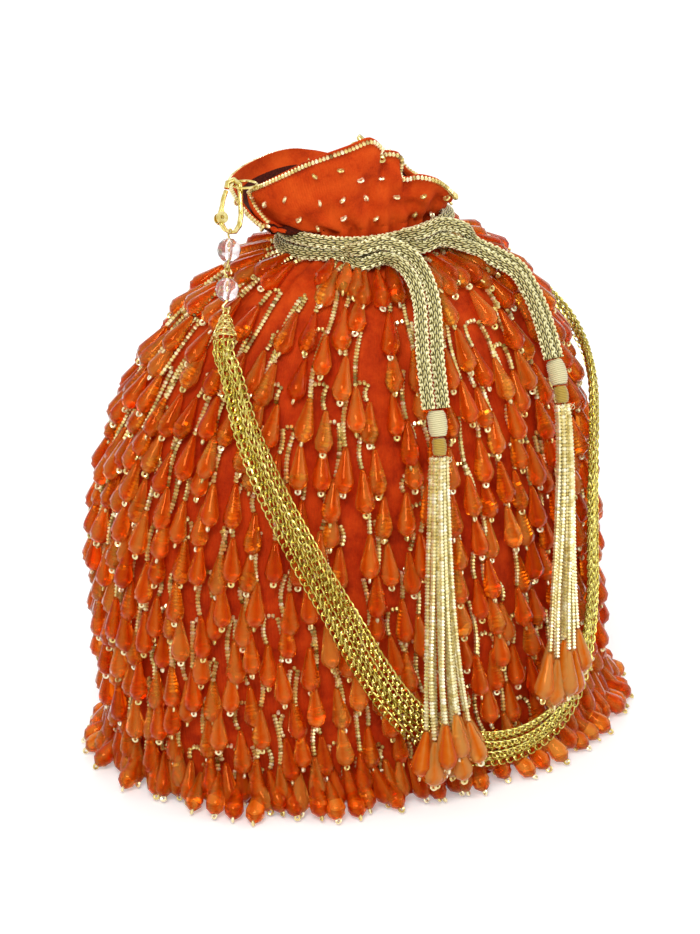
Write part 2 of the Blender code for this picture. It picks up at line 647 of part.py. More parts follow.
def crystal(name, centre, down, first):
    """A faceted ball with a bore along its pin."""
    profile = [
        (CRYSTAL_BORE, -0.86), (0.56 * CRYSTAL_RADIUS, -0.88), (0.92 * CRYSTAL_RADIUS, -0.45),
        (0.92 * CRYSTAL_RADIUS, 0.45), (0.56 * CRYSTAL_RADIUS, 0.88), (CRYSTAL_BORE, 0.86),
    ]
    second = np.cross(down, first)
    rings = [
        ring_points(centre + down * CRYSTAL_RADIUS * place, first, second, radius, 8)
        for radius, place in profile
    ]
    skin(name, np.array(rings), "crystal", closed=True, smooth=5)


def cone_cap(name, top, down, first):
    """A hollow cone that gathers the chains, its eye fused to the top."""
    second = np.cross(down, first)
    slant = [(CAP_TOP_RADIUS, 0.0), (CAP_BASE_RADIUS, CAP_LENGTH)]
    inner = [(CAP_BASE_RADIUS - CAP_WALL, CAP_LENGTH), (CAP_TOP_RADIUS, 2 * CAP_WALL)]
    rings = [ring_points(top + down * z, first, second, radius, 10) for radius, z in slant + inner]
    return skin(name, np.array(rings), "gold")


def make_strap_end(side):
    """Ring, clasp, two crystals and cone cap at one end; gives the point where the chains start."""
    end = StrapEnd(side)
    centre = end.hook - end.radial * RING_RADIUS
    stations = ring_points(centre, end.radial, np.cross((0, 0, 1), end.radial), RING_RADIUS, 12)
    _, across, depth = frames(stations, unit(stations - centre), closed=True)
    wire = [RING_WIRE] * len(stations)
    skin(f"sewn_ring_{side}", ovals(stations, across, depth, wire, wire, 6), "gold", closed=True)
    make_clasp(end)
    link = 2 * EYE_RADIUS - 2 * EYE_WIRE - GAP
    top = end.at(*low_point())
    for number, first in ((1, end.sideways), (2, end.outward)):
        low = eye_pin(f"eye_pin_{side}_{number}", top, end.down, first)
        crystal(f"crystal_{side}_{number}", (top + low) / 2, end.down, end.sideways)
        top = low + end.down * link
    cap_eye = ring_points(top, end.sideways, end.down, EYE_RADIUS, 10)
    _, across, depth = frames(cap_eye, unit(cap_eye - top), closed=True)
    wire = [EYE_WIRE] * len(cap_eye)
    eye = skin(f"cap_eye_{side}", ovals(cap_eye, across, depth, wire, wire, 5), "gold", closed=True)
    cap_top = top + end.down * (EYE_RADIUS - EYE_WIRE)
    cut(cone_cap(f"cone_cap_{side}", cap_top, end.down, end.sideways), eye, "UNION")
    return cap_top + end.down * (CAP_LENGTH + CAP_GAP), end


def make_strap():
    """Seven curb chains between the two cone caps, three next to the bag and four over them."""
    left_start, left_end = make_strap_end("left")
    right_start, right_end = make_strap_end("right")
    points, outs = bag_points(STRAP_ROUTE)
    points = [left_start, left_start + left_end.down * CAP_LEAD] + points
    points += [right_start + right_end.down * CAP_LEAD, right_start]
    outs = [outs[0], outs[0]] + outs + [outs[-1], outs[-1]]
    route = Route(points, outs)
    total = route.lengths[-1]
    lengths = np.linspace(0, total, round(total / LINK_STEP) + 1)
    centres, ways = route.at(lengths)
    along = route.at(lengths + GAP)[0] - route.at(lengths - GAP)[0]
    _, across, depth = frames(centres, ways, along=along)
    spread = np.interp(lengths / total, STRAP_SPREAD_AT, STRAP_SPREAD)
    flat = np.arange(len(lengths)) % 2 == 0
    number = 0
    for layer, places in zip((-0.5, 0.5), STRAP_LAYERS):
        for place in places:
            number += 1
            middle = centres + across * (place * spread)[:, None] + depth * layer * LAYER_STEP
            room = (spread - GAP) / 2
            wide = np.where(flat, np.minimum(LINK_HALF_WIDTH, room), np.minimum(LINK_NARROW, room))
            thick = np.where(flat, LINK_FLAT, LINK_DEEP)
            skin(f"chain_{number}", ovals(middle, across, depth, wide, thick, 4), "gold", smooth=5)


def make_rim_beading():
    """A line of seed beads sewn round the outside of the ruffle, just below its rim."""
    out = RIM_BEAD_RADIUS + 2 * GAP
    half_x, half_y, height = ruffle_row(ANGLES, RIM_BEAD_PLACE)
    above_x, above_y, above = ruffle_row(ANGLES, 1.0)
    normal = unit(np.stack([above - height, (half_x + half_y - above_x - above_y) / 2], axis=-1))
    turn = np.radians(ANGLES)
    x = (half_x + out * normal[:, 0]) * np.cos(turn)
    y = (half_y + out * normal[:, 0]) * np.sin(turn)
    corners = np.stack([x, y, height + out * normal[:, 1]], axis=-1)
    between = (corners + np.roll(corners, -1, axis=0)) / 2
    centres = np.stack([corners, between], axis=1).reshape(-1, 3)
    outward = unit(centres * (1, 1, 0))
    _, across, depth = frames(centres, outward, closed=True)
    bead = RIM_BEAD_RADIUS * np.where(np.arange(len(centres)) % 2, 1.0, 0.7)
    skin("rim_beading", ovals(centres, across, depth, bead, bead, 4), "gold", closed=True)


def make_base_board():
    """Stiffener under the lining's floor."""
    angles = ANGLES[::2]
    grow = -BASE_EDGE_INSET - WALL - BOARD_EDGE_GAP
    low = around(angles, 1.0, 0.0, grow, WALL + GAP)
    high = around(angles, 1.0, 0.0, grow, WALL + GAP + BOARD_THICKNESS)
    skin("base_board", np.array([low, high]), "board", smooth=20)


def main():
    for old in list(bpy.data.objects):
        bpy.data.objects.remove(old, do_unlink=True)
    make_outer_bag()
    make_lining()
    make_base_board()
    make_rim_beading()
    make_neck_loops()
    make_tail("a", TAIL_A_ROUTE, TAIL_A_CORD_LENGTH, TAIL_A_TASSEL_LENGTH)
    make_tail("b", TAIL_B_ROUTE, TAIL_B_CORD_LENGTH, TAIL_B_TASSEL_LENGTH)
    make_strap()


main()
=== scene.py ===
"""Looks of a beaded velvet potli bag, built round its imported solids.

Strings of seed beads and faceted teardrops are laid on the bag's own profile, the ruffle is a folded
sheet over the drawstring, and the cords, tassels and chains follow the routes of their solids.
Sizes are in metres and angles in degrees, counted from +X towards +Y.
"""
import math

import bpy
import numpy as np
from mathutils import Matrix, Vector


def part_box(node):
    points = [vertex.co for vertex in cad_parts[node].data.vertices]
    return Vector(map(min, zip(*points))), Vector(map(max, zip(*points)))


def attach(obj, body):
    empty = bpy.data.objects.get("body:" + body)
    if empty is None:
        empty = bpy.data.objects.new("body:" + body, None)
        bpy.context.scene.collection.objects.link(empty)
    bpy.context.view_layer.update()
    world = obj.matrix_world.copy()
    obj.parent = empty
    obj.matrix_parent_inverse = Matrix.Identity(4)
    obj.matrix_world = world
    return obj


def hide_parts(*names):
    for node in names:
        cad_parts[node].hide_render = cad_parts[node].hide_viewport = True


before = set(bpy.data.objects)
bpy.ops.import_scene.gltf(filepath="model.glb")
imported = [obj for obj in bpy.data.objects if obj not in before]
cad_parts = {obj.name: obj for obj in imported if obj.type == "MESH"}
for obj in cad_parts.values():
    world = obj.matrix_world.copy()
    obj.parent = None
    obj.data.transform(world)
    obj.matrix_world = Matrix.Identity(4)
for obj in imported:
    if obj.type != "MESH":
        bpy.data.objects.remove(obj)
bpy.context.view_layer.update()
MM = 0.001
RANDOM = np.random.default_rng(7)

# Bag body, as its solid has it
BODY_HALF_LENGTH = 0.0900
BODY_HALF_WIDTH = 0.0630
BULGE_HEIGHT = 0.060
NECK_HEIGHT = 0.182
NECK_HALF_LENGTH = 0.0265
NECK_HALF_WIDTH = 0.0170
DOME_POWER = 2.4
DOME_ROUNDNESS = 0.56
LEAN_X, LEAN_Y = -0.0055, 0.0032
BASE_EDGE_INSET = 0.0015
GAP = 0.0003
CORD = 0.0044
RUFFLE_START = NECK_HEIGHT + 2 * CORD + 4 * GAP

# Velvet cloth
COLUMNS = 352
PLEATS = 22
PLEAT_DEPTH = 0.0013
PLEAT_LENGTH = 0.045
SHOULDER_FOLDS = 9
SHOULDER_FOLD_DEPTH = 0.0016
RIB_PITCH = 0.0011
RIB_SCALE = 2 * math.pi / (20 * RIB_PITCH)
CRUSH_SIZE, PILE_SIZE = 0.009, 0.0007
# Height where the painted shade on the body starts to fade towards the paler velvet of the ruffle, gone at
# the neck
BODY_SHADE_FADES_FROM = 0.150
FOOT_HEIGHT = 0.003
PLEAT_SHARPNESS = 0.7
SWELL_LENGTH = 0.11
CREASE_DEPTH, CRUMPLE_DEPTH = 0.0011, 0.0007
FLAP_FROM, FLAP_OVER = 0.024, 0.016
BODY_ROWS = 56
NECK_ROWS = 6
RUFFLE_ROWS = 36
CLOTH = 0.0006
LINING_IN = 0.0014
LINING_OUT = 0.0008
LINING_FLOOR, LINING_TOP = 0.0038, 0.0046
FACING_ROWS = 9

# Ruffle: angle on the neck, then angle, reach in mm and height in mm of the rim above it.
# The rim doubles back at the left end and behind the front flap.
RUFFLE = [
    (20, 20, 24, 201.5), (40, 38, 24, 207.5), (58, 58, 26, 205.5), (76, 78, 28, 204.5),
    (95, 96, 32, 206.6), (112, 107, 36, 207.4), (124, 117, 39, 206.8), (135, 128, 42, 205.5),
    (145, 143, 44, 205.2), (154, 155, 45.5, 205.4), (162, 165, 46, 204.8), (169, 173, 46, 203),
    (176, 179, 45.5, 200.6), (183, 185, 45, 198.4), (190, 190, 44, 197), (197, 192, 43, 197.2),
    (203, 188.5, 43.5, 199), (208, 182, 44, 202.2), (213, 177, 43.5, 205.6), (220, 188, 41.5, 211.2),
    (227, 197.5, 38.5, 215.5), (234, 207, 35.5, 219.4), (241, 218, 32.5, 222.3), (248, 231, 29.5, 224.8),
    (255, 245.5, 27, 226.8), (260, 253.5, 24.5, 223.4), (265, 253.5, 20.5, 219.6), (270, 263, 21.5, 220.2),
    (276, 273, 22.5, 218.6), (281, 276.5, 20, 213), (286, 281, 20.5, 209.8), (293, 287, 25, 211),
    (302, 298, 28.5, 209.2), (312, 309, 30, 205.2), (323, 320, 31, 200.2), (336, 333, 30.5, 198.5),
    (355, 353, 27, 199),
]

# Dimples of the ruffle: angle and half width in degrees, share of the height and half of it, depth
DIMPLES = ((254, 6.5, 0.42, 0.20, 0.0032), (236, 5, 0.34, 0.22, 0.00192), (310, 6, 0.5, 0.2, 0.00192))

# Hanging strings
SKIRT_FILLET = 0.0040
SKIRT_RUN = 0.0020
HEM_ROW = 0.0150
HEM_PITCH = 0.0078
SHOULDER_END = 0.085
ROW_PITCH = 0.0162
PAIR_PITCH = 0.0122
FIRST_ROW = 0.0035
ROW_STRAY = 0.0032
STRINGS_APART = (0.0026, 0.0052)
LONG_STRING, SHORT_STRING = (12, 18), (5, 9)
SEED_PITCH = 0.00120
RIM_SEED_PITCH = 0.00128
RUFFLE_SEEDS_APART = 0.0078
SEED_RADIUS = 0.00096
DROP_LENGTH = 0.0150
DROP_RADIUS = 0.0035
STRING_OUT = 0.0011
TOP_LAYER = 0.0019
STRING_RISE = 0.0006
STRING_BOW = 1.2
DROP_TOP_OUT = 0.0017
DROP_BELLY_OUT = (0.0031, 0.0008)
DROP_SWING = 0.0012
DROP_SIZES = (0.94, 1.04)
DROPS_APART = 2.02 * DROP_RADIUS
PUSH_ROUNDS, LARGEST_PUSH = 40, 0.0055
COLLAR_ROW = 0.0012
COLLAR_DROPS = 19
SHOULDER_DROPS = 13
SHOULDER_SIDE = (240.0, 335.0)
# Strength of the painted highlight and shade on alternate facet edges of the drops
PAINTED_FACET_SHADING = 0.30
BARE_PATCH = (229.0, 0.024, 0.0100)
LONG_SIDE = 205.0

# Drawstring, wraps and tassels, as their solids have them
TAIL_SPACING = 0.0054
END_GAP = 0.0007
CREAM_WRAP_LENGTH, CREAM_WRAP_RADIUS = 0.0085, 0.0033
MUSTARD_WRAP_LENGTH, MUSTARD_WRAP_RADIUS = 0.0056, 0.0028
CREAM_THREAD, MUSTARD_THREAD = 0.00068, 0.00056
CREAM_DRAWN_IN, MUSTARD_DRAWN_IN = 0.26, 0.20
MUSTARD_SLIMMER = 0.88
LOOSE_THREADS = 9
PLEAT_CLEAR = 0.0015
TAIL_ROUTES = {
    "a": [
        (244, 185.5, 8.9), (252, 187, 9.4), (259, 187.5, 10.6), (264.5, 186.5, 13.5), (268, 176, 10),
        (270, 170, 10), (269, 163, 10), (268, 154, 10), (268, 145, 10), (268, 136, 10.8),
        (268, 128, 11.6), (267.5, 112, 12.2), (267, 92, 13.4), (266.5, 70, 15), (266, 50, 16.4),
        (266, 30, 16.8), (266, 12, 16.8), (266, -4, 16.8),
    ],
    "b": [
        (283, 188.5, 9), (292, 189.5, 9.4), (300, 189.5, 11), (306, 187, 14.5), (310, 178, 6.2),
        (312, 173.5, 7.2), (312.5, 168, 9.8), (311.5, 161, 10), (310, 153, 10), (308, 145, 10.4),
        (305.5, 136, 12), (303, 126, 13.6), (300.5, 113, 14.6), (298.5, 98, 15.2), (297, 82, 15.6),
        (295.5, 65, 16.4), (294.5, 50, 17.2), (294, 40, 17.4), (294, 28, 17.4), (294, 10, 17.4),
    ],
}
TAIL_TUCKS = {"a": (236, 185.5, 4.6), "b": (275, 188.5, 4.6)}
TAIL_LENGTHS = {"a": (0.071, 0.0975), "b": (0.075, 0.0880)}
TASSEL_TOP = (0.0034, 0.0030)
TASSEL_END = (0.0100, 0.0046)
TASSEL_STRINGS = 14
TASSEL_STRAY = (-0.0075, 0.0035)
TASSEL_FILL, TASSEL_FLARE, TASSEL_SWAY = 0.86, 0.16, 0.0005
GOLDEN_ANGLE = 2.399963
TASSEL_DROP_SIZE = 1.08
TIP_GAP = 0.0005
WALES = 8
STITCH = 0.0026
STITCH_DEPTH, STITCH_SUNK = 0.00062, 0.00040

# Strap and fittings, as their solids have them
STRAP_ROUTE = [
    (213.5, 152, 10.2), (222, 137, 9.7), (230.5, 119, 9.7), (238.5, 99.5, 9.7), (246, 77, 9.7),
    (252, 56, 9.7), (257.5, 40, 9.7), (264.5, 26.5, 9.7), (273.5, 17.5, 9.7), (284, 14.5, 9.7),
    (294, 17.5, 9.7), (303, 25.5, 9.7), (310, 39, 9.7), (314, 55, 9.7), (315, 72, 9.7),
    (316.5, 88, 9.7), (319.5, 102, 9.7), (325, 114, 9.7), (334, 124, 9.7), (345, 132, 9.7),
    (358, 139, 9.8), (372, 146, 10), (386, 152.5, 10.6),
]
STRAP_SPREAD_AT = (0.0, 0.10, 0.35, 0.62, 0.72, 0.90, 1.0)
STRAP_SPREAD = (0.0019, 0.0026, 0.0034, 0.0036, 0.0028, 0.0024, 0.0019)
STRAP_LAYERS = ((-1.0, 0.0, 1.0), (-1.5, -0.5, 0.5, 1.5))
LAYER_STEP = 0.0015
CAP_GAP, CAP_LEAD = 0.0010, 0.004
CHAIN_STRAY = 0.00035
LINK_PITCH = 0.0031
LINK_HALF_LENGTH, LINK_HALF_WIDTH, LINK_WIRE, LINK_TWIST = 0.00215, 0.00116, 0.00028, 0.00034
CRYSTAL_RADIUS = 0.0041
EYE_WIRE = 0.00035
EYE_RADIUS = 0.0005 + EYE_WIRE + 1.6 * GAP
CAP_LENGTH, CAP_TOP_RADIUS, CAP_BASE_RADIUS = 0.0080, 0.0014, 0.0040
# Rows of the cap's eyelets: how many, share of the way down, radius; then the hoops' shares
CAP_EYELETS = ((7, 0.22, 0.00075), (9, 0.50, 0.00092), (11, 0.80, 0.00106))
CAP_HOOPS = (0.06, 0.36, 0.66, 0.96)
EYELET_WIRE, HOOP_WIRE = 0.00026, 0.00024

# Camera, from the photograph
VIEW_TURN, VIEW_RISE, VIEW_DISTANCE = -29.0, 22.0, 1.25
VIEW_HEIGHT, VIEW_SHIFT = 0.098, -0.005
LENS, SENSOR = 136.5, 36.0

# Studio: name, place, power and size of each lamp
LAMPS = (("key", (-0.75, -1.0, 1.25), 16.0, 0.6), ("fill", (1.1, -0.9, 0.7), 5.0, 0.8),
         ("back", (0.3, 1.1, 1.1), 5.0, 0.8))
LAMPS_AIM = (0, 0, 0.09)
AMBIENT_POWER, SCREEN_POWER = 0.54, 1.0
FLOOR_REACH, FLOOR_GLOW = 6, 0.30


def unit(vectors):
    """Vectors scaled to length 1."""
    vectors = np.asarray(vectors, float)
    return vectors / np.linalg.norm(vectors, axis=-1, keepdims=True)


def hermite(knots, values, where):
    """Smooth curve through the values: cubic pieces with the slope of each knot's two neighbours."""
    slopes = np.gradient(values, knots, axis=0)
    piece = np.clip(np.searchsorted(knots, where, side="right") - 1, 0, len(knots) - 2)
    width = (knots[piece + 1] - knots[piece])[:, None]
    t = (where[:, None] - knots[piece][:, None]) / width
    start, end = values[piece], values[piece + 1]
    rise = (3 - 2 * t) * t**2
    lead = t * (1 - t) ** 2 * width * slopes[piece]
    tail = -(t**2) * (1 - t) * width * slopes[piece + 1]
    return start * (1 - rise) + end * rise + lead + tail


def read_at(places, lengths, values):
    """Vectors read off a line at these lengths along it, one axis at a time."""
    return np.stack([np.interp(places, lengths, axis) for axis in values.T], axis=-1)


def line_lengths(points):
    """Length along a line up to each of its points."""
    return np.append(0, np.cumsum(np.linalg.norm(np.diff(points, axis=0), axis=1)))


def fullness(height):
    """1 up to the bulge, then down to 0 at the neck: (1 - t^power)^roundness."""
    t = np.clip((height - BULGE_HEIGHT) / (NECK_HEIGHT - BULGE_HEIGHT), 0, 1)
    return (1 - t**DOME_POWER) ** DOME_ROUNDNESS


def mean_radius(full):
    """Mean of the oval's half sizes: the neck's plus fullness times its growth to the bulge."""
    neck = (NECK_HALF_LENGTH + NECK_HALF_WIDTH) / 2
    return neck + ((BODY_HALF_LENGTH + BODY_HALF_WIDTH) / 2 - neck) * full


def lean(height):
    """Sideways shift of the slack bag: none at the base and neck, most between them."""
    share = np.sin(math.pi * np.clip(np.asarray(height) / NECK_HEIGHT, 0, 1))
    return np.stack([LEAN_X * share, LEAN_Y * share, 0 * share], axis=-1)


def around(angle, full, height, grow, rise):
    """Points on the bag's oval at these fullnesses, grown sideways and raised."""
    turn = np.radians(angle)
    half_x = NECK_HALF_LENGTH + (BODY_HALF_LENGTH - NECK_HALF_LENGTH) * full + grow
    half_y = NECK_HALF_WIDTH + (BODY_HALF_WIDTH - NECK_HALF_WIDTH) * full + grow
    flat = np.stack([half_x * np.cos(turn), half_y * np.sin(turn), height + rise + 0 * turn], axis=-1)
    return flat + lean(height)


def on_bag(angle, height, out):
    """A point at this angle and height, this far out square to the bag's profile."""
    step = 0.0001
    slope = mean_radius(fullness(height + step)) - mean_radius(fullness(height - step))
    sideways, upward = unit([2 * step, -slope])
    return around(angle, fullness(height), height, out * sideways, out * upward)


def profile_table():
    """The profile from the neck down, by length: dome, wall, a fillet outwards, then the floor.

    Columns: length, fullness, height, growth sideways, and the outward direction's two parts.
    """
    sweep = np.sin(np.linspace(math.pi / 2, 0, 400))
    height = BULGE_HEIGHT + (NECK_HEIGHT - BULGE_HEIGHT) * sweep
    height = np.append(height, np.linspace(BULGE_HEIGHT, SKIRT_FILLET, 80)[1:])
    full = fullness(height)
    radius = mean_radius(full)
    side, up = unit(np.stack([-np.gradient(height), np.gradient(radius)], axis=-1)).T
    turn = np.linspace(0, math.pi / 2, 40)[1:]
    floor = np.linspace(0, 0.03, 10)[1:]
    grow = np.concatenate([0 * height, SKIRT_FILLET * (1 - np.cos(turn)), SKIRT_FILLET + floor])
    full = np.append(full, np.ones(len(turn) + len(floor)))
    height = np.concatenate([height, SKIRT_FILLET * (1 - np.sin(turn)), 0 * floor])
    side = np.concatenate([side, np.cos(turn), 0 * floor])
    up = np.concatenate([up, np.sin(turn), 1 + 0 * floor])
    reach = mean_radius(full) + grow
    length = np.append(0, np.cumsum(np.hypot(np.diff(reach), np.diff(height))))
    return length, full, height, grow, side, up


PROFILE = profile_table()
WALL_LENGTH = float(np.interp(-SKIRT_FILLET, -PROFILE[2][:479], PROFILE[0][:479]))


def on_profile(angle, length, out):
    """Points at these angles and lengths down the profile, this far out from it."""
    full, height, grow, side, up = (np.interp(length, PROFILE[0], part) for part in PROFILE[1:])
    return around(angle, full, height, grow + out * side, out * up)


def girth_radius(length):
    """Mean radius of the bag at this length down the profile, growth included."""
    full, grow = (np.interp(length, PROFILE[0], PROFILE[part]) for part in (1, 3))
    return mean_radius(full) + grow


def frames(centres, outs, closed=False):
    """Along, across and depth directions at each station of a path."""
    if closed:
        along = unit(np.roll(centres, -1, axis=0) - np.roll(centres, 1, axis=0))
    else:
        along = unit(np.gradient(centres, axis=0))
    across = unit(np.cross(along, outs))
    return along, across, np.cross(across, along)


class Route:
    """A smooth path through chosen points, read by the length along it."""

    def __init__(self, points, outs):
        """The curve is taken once, at 1200 places a steady share apart."""
        points = np.asarray(points, float)
        knots = line_lengths(points)
        fine = np.linspace(0, knots[-1], 1200)
        self.points = hermite(knots, points, fine)
        self.outs = unit(hermite(knots, np.asarray(outs, float), fine))
        self.lengths = line_lengths(self.points)

    def at(self, lengths):
        """Places and outward directions at these lengths."""
        return read_at(lengths, self.lengths, self.points), unit(read_at(lengths, self.lengths, self.outs))


def bag_points(table):
    """Points and outward directions from rows of angle, height and distance out, in millimetres."""
    rows = [(angle, height * MM, out * MM) for angle, height, out in table]
    outs = [unit(on_bag(a, h, out + MM) - on_bag(a, h, out)) for a, h, out in rows]
    return [on_bag(*row) for row in rows], outs


def make_piece(name, points, polygons, finish, stands_for=None, body="bag", smooth=60, tone=None):
    """One finished piece from arrays of points and of polygons, shaded smooth below an angle."""
    mesh = bpy.data.meshes.new(name)
    mesh.vertices.add(len(points))
    mesh.vertices.foreach_set("co", np.asarray(points, float).ravel())
    corners = np.concatenate([part.ravel() for part in polygons])
    sizes = np.concatenate([np.full(len(part), part.shape[1]) for part in polygons])
    mesh.loops.add(len(corners))
    mesh.loops.foreach_set("vertex_index", corners)
    mesh.polygons.add(len(sizes))
    mesh.polygons.foreach_set("loop_start", np.append(0, np.cumsum(sizes)[:-1]))
    mesh.update(calc_edges=True)
    mesh.validate()
    if smooth:
        mesh.polygons.foreach_set("use_smooth", [True] * len(mesh.polygons))
        mesh.set_sharp_from_angle(angle=math.radians(smooth))
    if tone is not None:
        mesh.attributes.new("tone", "FLOAT", "POINT").data.foreach_set("value", np.asarray(tone, float))
    mesh.materials.append(finish)
    piece = bpy.data.objects.new(name, mesh)
    bpy.context.scene.collection.objects.link(piece)
    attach(piece, body)
    if stands_for:
        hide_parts(stands_for)
    return piece


def grid_faces(rows, columns, close_rows=False):
    """Quads of a grid of points, row after row, closed round its columns, and its rows where asked."""
    index = np.arange(rows * columns).reshape(rows, columns)
    if close_rows:
        index = np.vstack([index, index[:1]])
    index = np.hstack([index, index[:, :1]])
    quads = [index[:-1, :-1], index[:-1, 1:], index[1:, 1:], index[1:, :-1]]
    return np.stack(quads, axis=-1).reshape(-1, 4)


def polar(reach, turn, height):
    """Points this far from the Z axis, at this turn about it and this height."""
    return np.stack([reach * np.cos(turn), reach * np.sin(turn), height + 0 * turn], axis=-1)


def turned(profile, sides, shift=None, bored=False):
    """A small turned shape about +Z: rings of (radius, place), with an n-gon at each end.

    A bored one has rings down its outside and back up its bore, closed on themselves.
    """
    turn = np.arange(sides) * 2 * math.pi / sides
    shift = [0.0] * len(profile) if shift is None else shift
    rings = [polar(r, turn + s, z) for (r, z), s in zip(profile, shift)]
    polygons = [grid_faces(len(profile), sides, close_rows=bored)]
    if not bored:
        end = np.arange(sides)[None]
        polygons += [end[:, ::-1], end + sides * (len(profile) - 1)]
    return np.concatenate(rings), polygons


def ring_shape(major, minor, sides, section):
    """A small torus whose axis is +Z."""
    turn = np.arange(sides)[:, None] * 2 * math.pi / sides
    roll = np.arange(section)[None] * 2 * math.pi / section
    points = polar(major + minor * np.cos(roll), turn, minor * np.sin(roll))
    return points.reshape(-1, 3), [grid_faces(sides, section, close_rows=True)]


def laid(shape, places, first, second, third, size=1.0):
    """Points and polygons of many copies of a shape, its X, Y and Z along three directions at each place."""
    points, polygons = shape
    x, y, z = points.T[:, None, :, None]
    spread = x * first[:, None] + y * second[:, None] + z * third[:, None]
    step = (np.arange(len(places)) * len(points))[:, None, None]
    faces = [(part[None] + step).reshape(-1, part.shape[1]) for part in polygons]
    return (places[:, None] + spread * size).reshape(-1, 3), faces


def copies(shape, places, axes, size=1.0, turn=None, tones=None):
    """Many copies of a small shape, its +Z along each axis and turned about it; one array of each."""
    axes = unit(axes)
    helper = np.where(np.abs(axes[:, 2:]) < 0.9, [[0.0, 0.0, 1.0]], [[1.0, 0.0, 0.0]])
    first = unit(np.cross(helper, axes))
    second = np.cross(axes, first)
    turn = np.zeros(len(places)) if turn is None else turn
    cos, sin = np.cos(turn)[:, None], np.sin(turn)[:, None]
    first, second = first * cos + second * sin, second * cos - first * sin
    made, faces = laid(shape, places, first, second, axes, np.reshape(size, (-1, 1, 1)))
    tones = np.zeros(len(places)) if tones is None else tones
    return made, faces, np.repeat(tones, len(shape[0]))


def beads(name, shape, places, axes, finish, size=1.0, turn=None, tones=None, smooth=60,
          stands_for=None, facets=0):
    """Copies of one bead as a piece; facets paints its edges paler and deeper by turns, a painted highlight
    and shade for light on cut facets.
    """
    points, faces, tone = copies(shape, places, axes, size, turn, tones)
    if facets:
        # Painted highlight and shade: alternate corners of each bead are made paler and deeper, standing in
        # for light on the facets
        corner = np.tile([1.0, -1.0], len(shape[0]) // 2)
        tone = np.clip(tone + facets * np.tile(corner, len(places)), 0, 1)
    return make_piece(name, points, faces, finish, stands_for, smooth=smooth, tone=tone)


def joined(sets):
    """Several results of copies as one."""
    points, tones, faces, start = [], [], {}, 0
    for made, parts, tone in sets:
        for part in parts:
            faces.setdefault(part.shape[1], []).append(part + start)
        points.append(made)
        tones.append(tone)
        start += len(made)
    polygons = [np.concatenate(faces[sides]) for sides in sorted(faces)]
    return np.concatenate(points), polygons, np.concatenate(tones)


def tube(centres, outs, radius, sides, closed=False, relief=0.0):
    """Points and quads of a tube round a path; relief adds to the radius on each point of its skin."""
    _, across, depth = frames(centres, outs, closed)
    turn = np.arange(sides) * 2 * math.pi / sides
    reach = np.reshape(radius, (-1, 1)) + relief + np.zeros((len(centres), sides))
    wide = (reach * np.cos(turn))[..., None] * across[:, None]
    deep = (reach * np.sin(turn))[..., None] * depth[:, None]
    points = (centres[:, None] + wide + deep).reshape(-1, 3)
    faces = [grid_faces(len(centres), sides, close_rows=closed)]
    if not closed:
        faces += [np.arange(sides)[None, ::-1], np.arange(sides)[None] + sides * (len(centres) - 1)]
    return points, faces


def linear(code):
    """A six-digit sRGB hex colour as linear values, with alpha 1."""
    parts = [int(code[i:i + 2], 16) / 255 for i in (1, 3, 5)]
    return tuple(c / 12.92 if c <= 0.04045 else ((c + 0.055) / 1.055) ** 2.4 for c in parts) + (1.0,)


def start_material(name, **sockets):
    """A Principled material with uniform values set on its own sockets; gives it, its tree and shader."""
    made = bpy.data.materials.new(name)
    made.use_nodes = True
    shader = made.node_tree.nodes["Principled BSDF"]
    for socket, value in sockets.items():
        shader.inputs[socket.replace("_", " ")].default_value = value
    return made, made.node_tree, shader


def add_node(tree, kind, settings=(), values=(), links=(), stops=()):
    """One node with its settings, input values, links in and colour stops."""
    node = tree.nodes.new(kind)
    for key, value in dict(settings).items():
        setattr(node, key, value)
    for key, value in dict(values).items():
        node.inputs[key].default_value = value
    for key, source in dict(links).items():
        tree.links.new(source, node.inputs[key])
    for number, (place, code) in enumerate(stops):
        if number > 1:
            node.color_ramp.elements.new(1.0)
        node.color_ramp.elements[number].position = place
        node.color_ramp.elements[number].color = linear(code)
    return node


def grained(name, stops, grain=None, detail=2.0, share=None, bump=None, **sockets):
    """A material coloured by a ramp over its grain, the piece's tone, or tone plus a share of grain.

    Grain is noise on Object coordinates of this size in mm, and bump its strength and height in mm.
    """
    made, tree, shader = start_material(name, **sockets)
    if grain:
        place = add_node(tree, "ShaderNodeTexCoord").outputs["Object"]
        size = {"Scale": 1 / (grain * MM), "Detail": detail}
        source = noise = add_node(tree, "ShaderNodeTexNoise", (), size, {"Vector": place}).outputs["Fac"]
    if share or not grain:
        source = add_node(tree, "ShaderNodeAttribute", {"attribute_name": "tone"}).outputs["Fac"]
    if share:
        source = add_node(tree, "ShaderNodeMath", {"operation": "MULTIPLY_ADD"}, {1: share},
                          {0: noise, 2: source}).outputs[0]
    colour = add_node(tree, "ShaderNodeValToRGB", (), (), {"Fac": source}, stops)
    tree.links.new(colour.outputs["Color"], shader.inputs["Base Color"])
    if bump:
        relief = add_node(tree, "ShaderNodeBump", (), {"Strength": bump[0], "Distance": bump[1] * MM},
                          {"Height": noise})
        tree.links.new(relief.outputs["Normal"], shader.inputs["Normal"])
    return made


